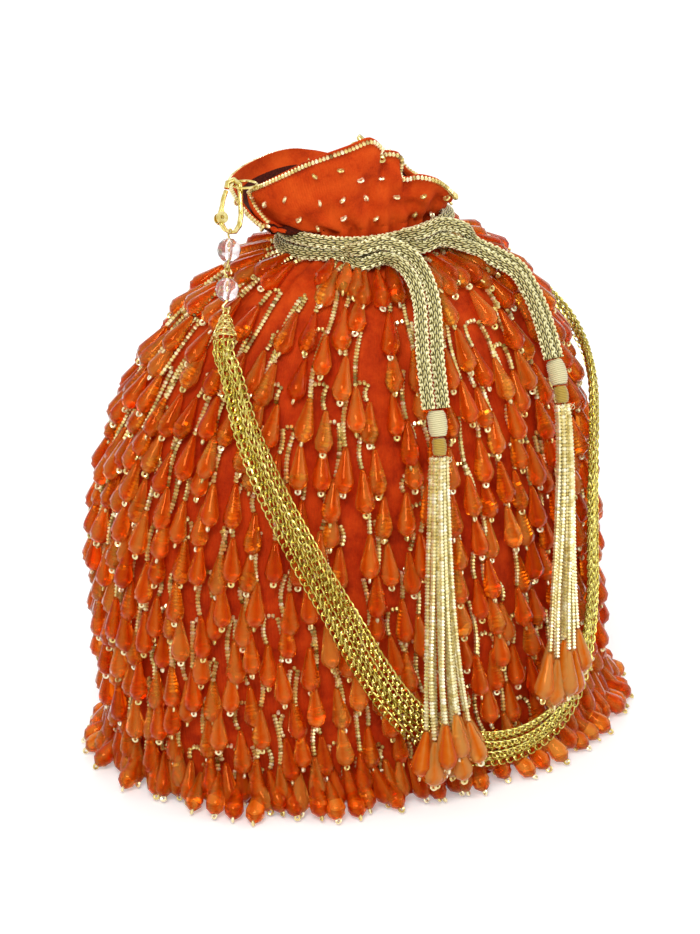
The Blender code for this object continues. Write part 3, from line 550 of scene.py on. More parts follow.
def velvet_material():
    """Short-pile cotton velvet: a soft sheen over orange-red, crushed paler and darker in patches, and
    darker below the neck as painted shade.
    """
    made, tree, shader = start_material(
        "short_pile_velvet", Roughness=0.82, Sheen_Weight=0.18, Sheen_Roughness=0.45,
        Sheen_Tint=linear("#FF6024"), Specular_IOR_Level=0.12,
    )
    place = add_node(tree, "ShaderNodeTexCoord").outputs["Object"]
    crush, pile = (
        add_node(tree, "ShaderNodeTexNoise", (), {"Scale": 1 / size, "Detail": detail, "Roughness": rough},
                 {"Vector": place}).outputs["Fac"]
        for size, detail, rough in ((CRUSH_SIZE, 3.0, 0.6), (PILE_SIZE, 2.0, 0.7))
    )
    mixed = add_node(tree, "ShaderNodeMath", {"operation": "MULTIPLY_ADD"}, {1: 0.28},
                     {0: pile, 2: crush}).outputs[0]
    stops = (0.40, 0.58, 0.80)
    # Painted shade: the body's ramp is darker than the ruffle's, for the shade under the drops; the mix by
    # height fades it out up to the neck
    shaded_body, unshaded_top = (
        add_node(tree, "ShaderNodeValToRGB", (), (), {"Fac": mixed}, zip(stops, codes)).outputs[0]
        for codes in (("#861C00", "#AA2C02", "#C23C06"), ("#A42C04", "#C63E08", "#D85012"))
    )
    split = add_node(tree, "ShaderNodeSeparateXYZ", links={"Vector": place})
    high = add_node(tree, "ShaderNodeMapRange", (), {"From Min": BODY_SHADE_FADES_FROM, "From Max": NECK_HEIGHT},
                    {"Value": split.outputs["Z"]})
    colour = add_node(tree, "ShaderNodeMix", {"data_type": "RGBA"}, (),
                      {0: high.outputs["Result"], 6: shaded_body, 7: unshaded_top})
    tree.links.new(colour.outputs[2], shader.inputs["Base Color"])
    grain = add_node(tree, "ShaderNodeUVMap", {"uv_map": "UVMap"})
    rib = add_node(tree, "ShaderNodeTexWave", (), {"Scale": RIB_SCALE, "Distortion": 1.0, "Detail": 1.0},
                   {"Vector": grain.outputs["UV"]}).outputs["Fac"]
    normal = {}
    for height, strength, deep in ((crush, 0.35, 0.8), (pile, 0.30, 0.15), (rib, 0.35, 0.12)):
        bump = add_node(tree, "ShaderNodeBump", (), {"Strength": strength, "Distance": deep * MM},
                        {"Height": height} | normal)
        normal = {"Normal": bump.outputs["Normal"]}
    tree.links.new(bump.outputs["Normal"], shader.inputs["Normal"])
    return made


VELVET = velvet_material()
# Woven satin: dark maroon, with a low gloss and a fine weave
LINING = grained("satin_lining", [(0.35, "#2C0A04"), (0.7, "#561A0A")], 0.6, bump=(0.2, 0.1),
                 Roughness=0.66, Specular_IOR_Level=0.10)
# Cut acrylic: tinted, half clear and polished, each drop a little paler or deeper
ACRYLIC = {"Roughness": 0.05, "IOR": 1.49, "Specular_IOR_Level": 0.34, "Specular_Tint": linear("#FF9048")}
TEARDROP, TASSEL_TEARDROP = (
    grained(name, zip((0.10, 0.55, 1.0), codes), 2.2, 1.0, 0.35, Transmission_Weight=clear, **ACRYLIC)
    for name, codes, clear in (
        ("cut_orange_acrylic", ("#D43402", "#FF780E", "#FFAE48"), 0.76),
        ("cut_pale_orange_acrylic", ("#EE5C06", "#FF8C1A", "#FFBC60"), 0.64),
    )
)
# Silver-lined glass: the foil inside flashes, so it is a bright metal under clear glass
SEEDS, PALE_SEEDS = (
    grained(name, zip((0.0, 0.5, 1.0), codes), Roughness=0.26, Metallic=0.60, Coat_Weight=0.6,
            Coat_Roughness=0.05)
    for name, codes in (
        ("silver_lined_gold_seed_beads", ("#86641C", "#E8D07A", "#FFF6CC")),
        ("silver_lined_pale_gold_seed_beads", ("#B79C4C", "#EADB98", "#FFFBE0")),
    )
)
# Knitted lurex: pale gold stitches that shine, over gaps between them that the relief tone darkens as
# painted shade
KNIT = grained(
    "knitted_lurex_cord", [(0.18, "#241C06"), (0.36, "#9A8C44"), (0.58, "#ECE2A4"), (0.86, "#FFFCD8")],
    0.35, share=0.30, bump=(0.4, 0.12), Roughness=0.36, Metallic=0.25,
)
# Wound rayon thread: silky turns side by side, darker between them as painted shade
CREAM, MUSTARD = (
    grained(name, zip((0.0, 1.0), codes), Roughness=0.5, Sheen_Weight=0.3)
    for name, codes in (("wound_cream_rayon", ("#A39660", "#E9DFB0")),
                        ("wound_mustard_rayon", ("#7A5E10", "#C7A63A")))
)
# Gold plate: polished yellow gold, a little duller where it is handled
CHAIN_METAL, CLASP_METAL = (
    grained(name, zip((0.35, 0.65), codes), 1.6, Metallic=1.0, Roughness=rough)
    for name, codes, rough in (("gold_plated_chain_steel", ("#AE9A38", "#E8DC80"), 0.24),
                               ("gold_plated_cast_zinc", ("#C9AE4E", "#F2E19A"), 0.16))
)
# Cut lead crystal: clear, with a faint pink tint
CRYSTAL = grained("cut_pink_crystal", [(0.3, "#FBE6E6"), (0.7, "#FFFAF8")], 6, Roughness=0.02, IOR=1.54,
                  Transmission_Weight=0.95)
# Grey pulp board with pressed fibres, hidden under the lining
BOARD = grained("pulp_board", [(0.3, "#8E8069"), (0.7, "#B0A187")], 1.5, 4.0, Roughness=0.9)


def smooth_noise(x, y, seed, count=5):
    """A smooth wave field between about -1 and 1: a sum of sine waves in both parameters."""
    draw = np.random.default_rng(seed)
    total = 0
    for _ in range(count):
        fx, fy = draw.integers(1, 7), draw.uniform(0.5, 3.5)
        total = total + np.sin(fx * x + draw.uniform(0, 6.3)) * np.sin(fy * y + draw.uniform(0, 6.3))
    return total / math.sqrt(count) * 1.4


def ruffle_grid(angles, shares):
    """The ruffle over each neck angle: a bow from the neck to the rim, bellied where the rim is far out.

    Each column is a quadratic curve from the neck's oval to its rim point. Its control point lies out
    under the rim for a wide flap and half way up for an upright one.
    """
    table = np.array(RUFFLE, float)
    round_once = (360, 360, 0, 0)
    table = np.vstack([table[-3:] - round_once, table, table[:3] + round_once])
    rim = hermite(table[:, 0], table[:, 1:], np.mod(angles - 20.0, 360.0) + 20.0)
    turn, reach, top = np.radians(rim[:, 0]), rim[:, 1] * MM, rim[:, 2] * MM
    base = around(angles, 0.0, RUFFLE_START, 0.0, 0.0)
    edge = polar(reach, turn, top)
    wide = np.clip((reach - FLAP_FROM) / FLAP_OVER, 0, 1)[:, None]
    level = np.array([1.0, 1.0, 0.0])
    middle = base + (edge - base) * (level * (0.45 + 0.50 * wide) + (1 - level) * (0.42 - 0.34 * wide))
    t = shares[:, None, None]
    return base * (1 - t) ** 2 + middle * 2 * t * (1 - t) + edge * t**2


def cloth_grid(angles):
    """Rows of the velvet from the wall's foot to the rim, with its pleats and soft folds."""
    body = np.linspace(1, 0, BODY_ROWS) ** 1.15 * WALL_LENGTH
    turn = np.radians(angles)
    fold = np.sin(PLEATS * turn)
    fold = np.sign(fold) * np.abs(fold) ** PLEAT_SHARPNESS
    rows = []
    foot = around(angles, 1.0, FOOT_HEIGHT, 0.0, 0.0)
    soft = np.sin(SHOULDER_FOLDS * turn + 1.3) + 0.5 * np.sin((2 * SHOULDER_FOLDS + 3) * turn)
    for length in body:
        near = max(0.0, 1 - length / PLEAT_LENGTH)
        swell = math.sin(math.pi * min(length / SWELL_LENGTH, 1.0)) ** 2
        out = PLEAT_DEPTH * near**1.5 * fold - SHOULDER_FOLD_DEPTH * swell * np.clip(soft, 0, 2)
        rows.append(on_profile(angles, np.full(len(angles), length), out))
    for share in np.linspace(0, 1, NECK_ROWS + 1)[1:]:
        height = NECK_HEIGHT + (RUFFLE_START - NECK_HEIGHT) * share
        rows.append(around(angles, 0.0, np.full(len(angles), height), PLEAT_DEPTH * fold, 0.0))
    shares = np.linspace(0, 1, RUFFLE_ROWS + 1)[1:]
    ruffle = ruffle_grid(angles, shares)
    bend = grid_normals(np.concatenate([np.stack(rows[-2:]), ruffle]))[2:]
    t = shares[:, None]
    crumple = CRUMPLE_DEPTH * np.sin(math.pi * t) * smooth_noise(3 * turn, 5 * t, 3)
    crease = CREASE_DEPTH * (1 - t) ** 1.5 * fold + crumple
    dimple = sum(
        depth * np.exp(-(((angles - angle) / wide) ** 2) - ((t - share) / tall) ** 2)
        for angle, wide, share, tall, depth in DIMPLES
    )
    ruffle = ruffle + bend * (crease - dimple)[..., None]
    return np.concatenate([foot[None], np.stack(rows), ruffle])


def grid_normals(grid):
    """Outward unit normals of a grid of points that closes round its columns."""
    across = np.roll(grid, -1, axis=1) - np.roll(grid, 1, axis=1)
    up = np.gradient(grid, axis=0)
    return unit(np.cross(across, up) + 1e-12)


def shell_piece(node, name, outside, inside, low, finish):
    """A closed cloth shell: outer rows up, over the rim, inner rows down, each with its floor."""
    columns = outside.shape[1]
    foot = outside[0].mean(axis=0) * (1, 1, 0) + (0, 0, low)
    floor = foot * (1, 1, 0) + (0, 0, inside[-1][0, 2])
    points = np.concatenate([foot[None], outside.reshape(-1, 3), inside.reshape(-1, 3), floor[None]])
    rows = len(outside) + len(inside)
    ring = np.arange(columns)
    after = (ring + 1) % columns
    last = 1 + (rows - 1) * columns
    low_fan = np.stack([0 * ring, 1 + after, 1 + ring], axis=-1)
    high_fan = np.stack([0 * ring + len(points) - 1, last + ring, last + after], axis=-1)
    return make_piece(name, points, [grid_faces(rows, columns) + 1, low_fan, high_fan], finish, node)


def read_all(items, name, kind=int, width=1):
    """One attribute of all of a mesh's items, as an array."""
    values = np.empty(len(items) * width, kind)
    items.foreach_get(name, values)
    return values


def lay_grain(mesh, columns, girth, row_height):
    """Weave map in metres: round the bag in u and up the cloth in v, closed at the last column."""
    corners, starts = read_all(mesh.loops, "vertex_index"), read_all(mesh.polygons, "loop_start")
    row, column = np.divmod(corners - 1, columns)
    sizes = np.diff(np.append(starts, len(corners)))
    highest = np.repeat(np.maximum.reduceat(column, starts), sizes)
    column = np.where((highest > columns / 2) & (column == 0), columns, column)
    grain = np.column_stack([column * girth / columns, row * row_height])
    mesh.uv_layers.new(name="UVMap").data.foreach_set("uv", grain.ravel())


def make_cloth():
    """The velvet bag with its ruffle, and the lining inside it."""
    angles = np.arange(COLUMNS) * 360.0 / COLUMNS
    grid = cloth_grid(angles)
    normals = grid_normals(grid)
    base = around(angles, 1.0, 0.0, -BASE_EDGE_INSET, 0.0)
    outside = np.concatenate([base[None], grid])
    broad = unit(sum(np.roll(normals, shift, axis=1) for shift in range(-8, 9)))
    inner = (grid - broad * CLOTH)[::-1]
    keep = np.r_[0:RUFFLE_ROWS, RUFFLE_ROWS:len(inner) - 1:4, len(inner) - 1]
    bag = shell_piece("outer_bag", "velvet_bag", outside, inner[keep], 0.0, VELVET)
    lay_grain(bag.data, COLUMNS, math.pi * (BODY_HALF_LENGTH + BODY_HALF_WIDTH), 0.003)
    rows = np.r_[6:BODY_ROWS:3, BODY_ROWS:len(grid) - FACING_ROWS]
    skin = grid[rows] - broad[rows] * LINING_OUT
    back = (grid[rows] - broad[rows] * LINING_IN)[::-1]
    flat = skin[:1] * (0.985, 0.985, 0.0) + (0, 0, LINING_FLOOR)
    floor = back[-1:] * (0.98, 0.98, 0.0) + (0, 0, LINING_TOP)
    shell_piece("lining", "lining_cloth", np.concatenate([flat, skin]), np.concatenate([back, floor]),
                LINING_FLOOR, LINING)
    return grid, normals


SEED = turned([(0.00058, -0.00056), (SEED_RADIUS, 0.0), (0.00058, 0.00056)], 5)
RING_SEED = ring_shape(0.00084, 0.00045, 10, 5)
DROP_PROFILE = [(0.0008, 0.0), (0.0012, 0.0012), (0.0022, 0.0055), (0.0031, 0.0091), (0.0035, 0.0113),
                (0.0030, 0.0132), (0.0011, 0.0150)]
DROP_SHIFT = [0, 0, 0, 0, 0, math.pi / 8, 0]
DROP = turned(DROP_PROFILE, 8, DROP_SHIFT)
BELLY_AT, BELLY_CLEAR = 0.0113, 0.0037
TIP_AT, TIP_CLEAR = 0.0163, 0.0015


def tones_about(mean, spread, things, low=0, high=1):
    """A tone for each thing, drawn about a mean and kept between two ends."""
    return np.clip(RANDOM.normal(mean, spread, len(things)), low, high)


def ring_seeds(name, places, ways, size, dullest, stands_for=None):
    """Single ring seeds, each on its side across a way, turned at random."""
    axes = unit(np.cross(ways, RANDOM.normal(size=ways.shape)))
    tones = RANDOM.uniform(dullest, 1, len(places))
    beads(name, RING_SEED, places, axes, SEEDS, size, tones=tones, stands_for=stands_for)


def string_table():
    """One row for each string: anchor angle, anchor length, seeds, and its layer, 1 on top.

    Short ones stand in a collar under the neck, thicker at the front, and in a row along the hem. The
    rest hang from staggered rows down the profile, a long and a short string side by side.
    """
    rows = []
    hem = round(2 * math.pi * girth_radius(WALL_LENGTH) / HEM_PITCH)
    for count, (low, high), stray, start, spread, seeds, layer in (
        (COLLAR_DROPS, (0.0, 360.0), (-0.3, 0.3), COLLAR_ROW, (0, 0.003), (2, 5), 1),
        (SHOULDER_DROPS, SHOULDER_SIDE, (0.2, 0.8), COLLAR_ROW, (0.004, 0.008), (2, 4), 1),
        (hem, (0.0, 360.0), (-0.3, 0.3), WALL_LENGTH - HEM_ROW, (0, 0.004), (3, 6), 0),
    ):
        for k in range(count):
            angle = low + (k + RANDOM.uniform(*stray)) * (high - low) / count
            rows.append([angle, start + RANDOM.uniform(*spread), RANDOM.integers(*seeds), max(layer, k % 2)])
    length, number = FIRST_ROW, 0
    while length < WALL_LENGTH - 0.004:
        count = max(9, round(2 * math.pi * girth_radius(length) / PAIR_PITCH))
        step = 360.0 / count
        for k in range(count):
            angle = (k + 0.5 * (number % 2) + RANDOM.uniform(-0.14, 0.14)) * step
            start = length + RANDOM.uniform(-ROW_STRAY, ROW_STRAY)
            apart = math.degrees(RANDOM.uniform(*STRINGS_APART) / girth_radius(start))
            side = 1 if RANDOM.random() < 0.5 else -1
            extra = round(4 * math.cos(math.radians(angle - LONG_SIDE))) if number < 3 else 0
            limit = WALL_LENGTH + SKIRT_RUN + RANDOM.uniform(-0.002, 0.003) - DROP_LENGTH
            pair = (RANDOM.integers(*LONG_STRING) + extra, RANDOM.integers(*SHORT_STRING))
            for seeds, layer in zip(pair, (1, 0)):
                seeds = int(np.clip((limit - start) / SEED_PITCH, 3, seeds))
                place = min(start, limit - seeds * SEED_PITCH)
                rows.append([angle + (0.5 - layer) * side * apart, place, seeds, layer])
        length += ROW_PITCH
        number += 1
    table = np.array(rows, float)
    belly = table[:, 1] + table[:, 2] * SEED_PITCH + 0.010
    patch = np.radians(table[:, 0] - BARE_PATCH[0]) * girth_radius(belly)
    keep = np.hypot(patch, belly - BARE_PATCH[1]) > BARE_PATCH[2]
    return table[keep]


def above_floor(top, axis, size):
    """Axes of the lowest drops, tilted up until belly and tip seed stand clear of the floor."""
    belly = (BELLY_CLEAR - top[:, 2]) / (BELLY_AT * size)
    tip = (TIP_CLEAR - top[:, 2]) / (TIP_AT * size)
    upward = np.clip(np.maximum(axis[:, 2], np.maximum(belly, tip)), -1, 0.9)
    level = unit(axis[:, :2]) * np.sqrt(1 - upward**2)[:, None]
    return np.column_stack([level, upward])


def spread_drops(angles, lengths):
    """Angles of the drops after neighbours less than a drop's width apart have pushed each other aside."""
    radius = girth_radius(lengths)
    moved = np.radians(angles)
    start = moved.copy()
    for _ in range(PUSH_ROUNDS):
        apart = moved[:, None] - moved[None]
        apart = (apart + math.pi) % (2 * math.pi) - math.pi
        x = apart * (radius[:, None] + radius[None]) / 2
        y = lengths[:, None] - lengths[None]
        far = np.hypot(x, y)
        np.fill_diagonal(far, 1.0)
        push = np.clip(DROPS_APART - far, 0, None) * np.sign(x + 1e-9) * (np.abs(x) / far + 0.3)
        moved = moved + 0.25 * push.sum(axis=1) / radius
        moved = start + np.clip(moved - start, -LARGEST_PUSH / radius, LARGEST_PUSH / radius)
    return np.degrees(moved)


def seeds_down(anchor, start, seeds, drop_angle, rise):
    """Places, axes and set of the seeds of each string, which bows and swings over to its drop."""
    lines = []
    for a, s, n, d, up in zip(anchor, start, seeds.astype(int), drop_angle, rise):
        k = np.arange(n) + 0.5
        share = k / (n + 1)
        angle = a + (d - a) * share**1.3 + STRING_BOW * math.sin(a * 7.0) * np.sin(math.pi * share)
        places = on_profile(angle, s + k * SEED_PITCH, STRING_OUT + (STRING_RISE + up) * share**0.8)
        lines.append((places, np.gradient(places, axis=0), np.full(n, n > SHORT_STRING[1])))
    return lines


def seeds_between(anchor, start, layer):
    """Places, axes and set of the seeds that join the tops of a long and a short string."""
    lines = []
    together = (layer[:-1] == 1) & (layer[1:] == 0) & (np.abs(start[:-1] - start[1:]) < 1e-9)
    for i in np.flatnonzero(together):
        gap = anchor[i + 1] - anchor[i]
        count = max(1, int(abs(math.radians(gap) * girth_radius(start[i])) / SEED_PITCH) - 1)
        k = (np.arange(count) + 1) / (count + 1)
        lift = STRING_RISE * np.sin(math.pi * k)
        places = on_profile(anchor[i] + gap * k, start[i] - lift, STRING_OUT)
        side = on_profile(anchor[i + 1], start[i], STRING_OUT) - on_profile(anchor[i], start[i], STRING_OUT)
        lines.append((places, np.tile(side, (count, 1)), np.full(count, True)))
    return lines


def make_strings():
    """The hanging strings: seed beads down the cloth, the teardrop they end in, and its tip seed."""
    anchor, start, seeds, layer = string_table().T
    belly = start + (seeds + 0.5) * SEED_PITCH + 0.0105
    drop_angle = spread_drops(anchor, belly)
    anchor = anchor + 0.65 * (drop_angle - anchor)
    from_ends = np.minimum(start / SHOULDER_END, (WALL_LENGTH - start) / (2 * ROW_PITCH))
    rise = TOP_LAYER * layer * (0.2 + 0.8 * np.clip(from_ends, 0, 1))
    lines = seeds_down(anchor, start, seeds, drop_angle, rise) + seeds_between(anchor, start, layer)
    places, axes, long_one = (np.concatenate(part) for part in zip(*lines))
    tones = tones_about(0.5, 0.22, places)
    for name, chosen in (("seed_strings_long", long_one), ("seed_strings_short", ~long_one)):
        beads(name, SEED, places[chosen], axes[chosen], SEEDS, tones=tones[chosen], smooth=50,
              stands_for="outer_bag")
    reach = start + (seeds + 0.3) * SEED_PITCH
    top = on_profile(drop_angle, reach, DROP_TOP_OUT + rise)
    swing = RANDOM.uniform(-0.9, 0.9, len(anchor)) / girth_radius(belly) * DROP_SWING
    belly_out = DROP_BELLY_OUT[0] + DROP_BELLY_OUT[1] * np.clip(start / SHOULDER_END, 0, 1)
    end = on_profile(drop_angle + np.degrees(swing), reach + DROP_LENGTH, belly_out + rise)
    axis = unit(end - top)
    size = RANDOM.uniform(*DROP_SIZES, len(anchor))
    turn = RANDOM.uniform(0, math.pi, len(anchor))
    tone = tones_about(0.42, 0.17, anchor, 0.02, 0.95)
    axis = above_floor(top, axis, size)
    beads("teardrops", DROP, top, axis, TEARDROP, size, turn, tone, smooth=0,
          stands_for="outer_bag", facets=PAINTED_FACET_SHADING)
    tip = top + axis * (DROP_LENGTH * size + TIP_GAP)[:, None]
    ring_seeds("teardrop_tip_seeds", tip, axis, 1.0, 0.3, "outer_bag")


def make_ruffle_beads(grid, normals):
    """The bead line sewn under the rim, and the single seeds scattered over the ruffle."""
    row = len(grid) - 2
    line, out = grid[row], normals[row]
    loop = np.vstack([line, line[:1]])
    lengths = line_lengths(loop)
    where = np.arange(0, lengths[-1] - 0.0005, RIM_SEED_PITCH)
    places = read_at(where, lengths, loop)
    outs = read_at(where, lengths, np.vstack([out, out[:1]]))
    axes = np.roll(places, -1, axis=0) - np.roll(places, 1, axis=0)
    tones = tones_about(0.6, 0.25, places)
    beads("rim_bead_line", SEED, places + unit(outs) * 0.0006, axes, SEEDS, 0.98, tones=tones,
          smooth=50, stands_for="rim_beading")
    first = len(grid) - RUFFLE_ROWS
    spots, kept = [], []
    for _ in range(4000):
        r, c = RANDOM.integers(first + 4, len(grid) - 5), RANDOM.integers(0, COLUMNS)
        place = grid[r, c]
        if all(np.linalg.norm(place - other) > RUFFLE_SEEDS_APART for other in spots):
            spots.append(place)
            kept.append((r, c))
    rows, columns = np.array(kept).T
    out = normals[rows, columns]
    ring_seeds("ruffle_seeds", grid[rows, columns] + out * 0.0005, out, 1.05, 0.3)


def knit_relief(stations, sides, length):
    """Relief of a knitted tube, 0 in its gaps and 1 on its stitches: two legs that spread along each."""
    around_share = np.arange(sides)[None] / sides
    along = np.linspace(0, length, stations)[:, None]
    wale = np.mod(around_share * WALES, 1) - 0.5
    up = np.mod(along / STITCH + 0.5 * np.floor(around_share * WALES) % 1, 1)
    leg = 0.07 + 0.31 * up + 0.03 * smooth_noise(2 * math.pi * around_share, 260 * along, 11)
    away = np.abs(np.abs(wale) - leg)
    ends = np.clip(np.minimum(up, 1 - up) / 0.22, 0, 1)
    return np.exp(-((away / 0.115) ** 2)) * (0.30 + 0.70 * ends)


def knitted(node, centres, outs, closed=False):
    """A knitted cord of the drawstring's diameter along a path, in place of its solid."""
    sides = 6 * WALES
    relief = knit_relief(len(centres), sides, np.linalg.norm(np.diff(centres, axis=0), axis=1).sum())
    points, faces = tube(centres, outs, CORD / 2 - STITCH_SUNK, sides, closed, STITCH_DEPTH * relief)
    # Painted shade: the tone follows the relief, so the gaps between the stitches are darker
    tone = 0.75 * relief.ravel()
    return make_piece(f"knitted_{node}", points, faces, KNIT, node, smooth=50, tone=tone)


def make_neck_loops():
    """The drawstring's two turns round the gathered neck."""
    count = 470
    angles = np.arange(count) * 360.0 / count
    for turn, name in enumerate(("drawstring_loop_lower", "drawstring_loop_upper")):
        sway = np.radians(angles) * 3 + 2.4 * turn
        clear = PLEAT_CLEAR + GAP + CORD / 2 + 0.0004 * np.sin(sway)
        height = NECK_HEIGHT + GAP + CORD / 2 + turn * (CORD + GAP) + 0.0005 * np.cos(sway)
        centres = around(angles, 0.0, height, clear, 0.0)
        outs = unit(around(angles, 0.0, height, clear + CORD, 0.0) - centres)
        knitted(name, centres, outs, closed=True)


def wrap(colour, letter, route, start, length, radius, pitch, finish, barrel):
    """Thread wound round the cord: ridges in a helix, the ends drawn in by a share of the radius."""
    stations, sides = int(length / (pitch / 7)), 24
    share = np.linspace(0, 1, stations)
    places, outs = route.at(start + share * length)
    swell = 1 - barrel * np.abs(2 * share - 1) ** 4
    turn = np.arange(sides)[None] / sides
    ridge = 0.5 + 0.5 * np.cos(2 * math.pi * ((share[:, None] * length) / pitch + turn))
    relief = 0.00022 * (ridge - 1) + 0.00010 * smooth_noise(2 * math.pi * turn, 8 * share[:, None], 5)
    points, faces = tube(places, outs, radius * swell, sides, relief=relief)
    # Painted shade: the tone follows the ridges, so the grooves between the turns are darker
    tone = np.clip(0.25 + 0.7 * ridge + 0 * turn, 0, 1).ravel()
    make_piece(f"{colour}_thread_wrap_{letter}", points, faces, finish,
               f"{colour}_wrap_{letter}", tone=tone)


def fibres(name, place, down, radius, finish):
    """Loose thread ends under a wrap: short thin curls."""
    sets = []
    helper = unit(np.cross(down, (0.3, 0.9, 0.1)))
    other = np.cross(down, helper)
    for k in range(LOOSE_THREADS):
        a = k * 2.4
        side = helper * math.cos(a) + other * math.sin(a)
        t = np.linspace(0, 1, 9)[:, None]
        curl = side * (radius * (0.85 + 0.6 * np.sin(2.6 * t + k)))
        line = place + curl + down * (0.0006 + (0.0022 + 0.0012 * math.sin(5.0 * k)) * t)
        points, faces = tube(line, np.tile(np.cross(side, down), (9, 1)), 0.00011, 4)
        sets.append((points, faces, np.full(len(points), 0.8)))
    points, faces, tone = joined(sets)
    make_piece(name, points, faces, finish, tone=tone)


def make_tassel(letter, route, start, length):
    """Strings of pale seeds that fan out to a teardrop each."""
    (top_w, top_d), (end_w, end_d) = TASSEL_TOP, TASSEL_END
    lines, drops = [], []
    for k in range(TASSEL_STRINGS):
        angle = k * GOLDEN_ANGLE
        share_out = math.sqrt((k + 0.6) / TASSEL_STRINGS)
        reach = length + RANDOM.uniform(*TASSEL_STRAY)
        count = int(reach / SEED_PITCH)
        along = (np.arange(count) + 0.5) * SEED_PITCH
        t = (along / length)[:, None]
        places, outs = route.at(start + along)
        _, across, depth = frames(places, outs)
        sway = TASSEL_SWAY * np.sin(7 * t + 1.9 * k) * t
        wide = ((top_w + (end_w - top_w) * t**1.3) * math.cos(angle) * share_out * TASSEL_FILL) + sway
        deep = (top_d + (end_d - top_d) * t) * math.sin(angle) * share_out * TASSEL_FILL
        line = places + across * wide + depth * deep
        lines.append((line, np.gradient(line, axis=0)))
        end = line[-1] + unit(line[-1] - line[-2]) * SEED_PITCH
        flare = TASSEL_FLARE * across[-1] * math.cos(angle) * share_out
        drops.append((end, unit(unit(line[-1] - line[-6]) + flare)))
    places, axes = (np.concatenate(part) for part in zip(*lines))
    tones = tones_about(0.6, 0.2, places)
    beads(f"tassel_{letter}_seed_strings", SEED, places, axes, PALE_SEEDS, 1.02, tones=tones,
          smooth=50, stands_for=f"tassel_strands_{letter}")
    tops, ways = np.array(drops).swapaxes(0, 1)
    beads(f"tassel_{letter}_teardrops", DROP, tops, ways, TASSEL_TEARDROP, TASSEL_DROP_SIZE,
          RANDOM.uniform(0, 3, len(tops)), RANDOM.uniform(0.25, 0.85, len(tops)), smooth=0,
          stands_for=f"tassel_drops_{letter}", facets=PAINTED_FACET_SHADING)
    tips = tops + ways * (DROP_LENGTH * TASSEL_DROP_SIZE + TIP_GAP)
    ring_seeds(f"tassel_{letter}_tip_seeds", tips, ways, 1.1, 0.4)


def make_tail(letter):
    """One end of the drawstring: two knitted cords, two thread wraps and a bead tassel."""
    route = Route(*bag_points(TAIL_ROUTES[letter]))
    cord_length, tassel_length = TAIL_LENGTHS[letter]
    chosen = np.linspace(0, cord_length, max(3, round(cord_length / (2 * CORD)) + 1))
    centres, outs = route.at(chosen)
    _, across, _ = frames(centres, outs)
    (tuck_place,), (tuck_out,) = bag_points([TAIL_TUCKS[letter]])
    centres, outs = np.vstack([tuck_place, centres]), np.vstack([tuck_out, outs])
    across = np.vstack([0.5 * across[:1], across])
    for side, shift in (("left", -1), ("right", 1)):
        line = Route(centres + across * shift * TAIL_SPACING / 2, outs)
        places, ways = line.at(np.linspace(0, line.lengths[-1], round(line.lengths[-1] / 0.00034)))
        cord = knitted(f"tail_{letter}_{side}", places, ways)
    reach = cord_length + END_GAP
    wrap("cream", letter, route, reach, CREAM_WRAP_LENGTH, CREAM_WRAP_RADIUS, CREAM_THREAD, CREAM,
         CREAM_DRAWN_IN)
    reach += CREAM_WRAP_LENGTH + END_GAP
    wrap("mustard", letter, route, reach, MUSTARD_WRAP_LENGTH, MUSTARD_SLIMMER * MUSTARD_WRAP_RADIUS,
         MUSTARD_THREAD, MUSTARD, MUSTARD_DRAWN_IN)
    reach += MUSTARD_WRAP_LENGTH
    place, _ = route.at(np.array([reach, reach + MM]))
    fibres(f"loose_threads_{letter}", place[0], unit(place[1] - place[0]), MUSTARD_WRAP_RADIUS, CREAM)
    make_tassel(letter, route, reach + END_GAP, tassel_length)


def link_shape():
    """A curb link: an oval of wire along +Z whose ends are twisted so that neighbours pass through."""
    turn = np.arange(12) * 2 * math.pi / 12
    centres = np.stack([LINK_HALF_WIDTH * np.sin(turn), LINK_TWIST * np.sin(2 * turn),
                        LINK_HALF_LENGTH * np.cos(turn)], axis=-1)
    outs = unit(centres * (1, 0, 1))
    return tube(centres, outs, LINK_WIRE, 4, closed=True)


def make_chains(ends):
    """Seven curb chains between the two cone caps, link by link along the strap's route."""
    points, outs = bag_points(STRAP_ROUTE)
    (left_start, left_down), (right_start, right_down) = (ends[side][:2] for side in ("left", "right"))
    points = [left_start, left_start + left_down * CAP_LEAD] + points
    points += [right_start + right_down * CAP_LEAD, right_start]
    outs = [outs[0], outs[0]] + outs + [outs[-1], outs[-1]]
    route = Route(points, outs)
    total = route.lengths[-1]
    lengths = np.arange(0, total, LINK_PITCH) + LINK_PITCH / 2
    lengths = lengths[lengths < total]
    centres, ways = route.at(lengths)
    _, across, depth = frames(centres, ways)
    spread = np.interp(lengths / total, STRAP_SPREAD_AT, STRAP_SPREAD)
    link = link_shape()
    number = 0
    for layer, spots in zip((-0.5, 0.5), STRAP_LAYERS):
        for spot in spots:
            number += 1
            stray = CHAIN_STRAY * np.sin(lengths / 0.013 + 2.1 * number) * np.clip(spread / 0.0034, 0, 1)
            middle = centres + across * (spot * spread + stray)[:, None] + depth * layer * LAYER_STEP
            heading = unit(np.gradient(middle, axis=0))
            flat = unit(np.cross(depth, heading))
            tight = np.clip(spread / (2 * LINK_HALF_WIDTH + 2 * LINK_WIRE), 0.3, 1)
            roll = np.arccos(tight) * (1 if number % 2 else -1) + 0.25 * np.sin(lengths / 0.021 + number)
            side = flat * np.cos(roll)[:, None] + np.cross(heading, flat) * np.sin(roll)[:, None]
            made, faces = laid(link, middle, side, np.cross(heading, side), heading)
            make_piece(f"curb_chain_{number}", made, faces, CHAIN_METAL, f"chain_{number}")


def centre_of(node):
    """Centre of a solid's box."""
    low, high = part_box(node)
    return np.array((low + high) / 2)


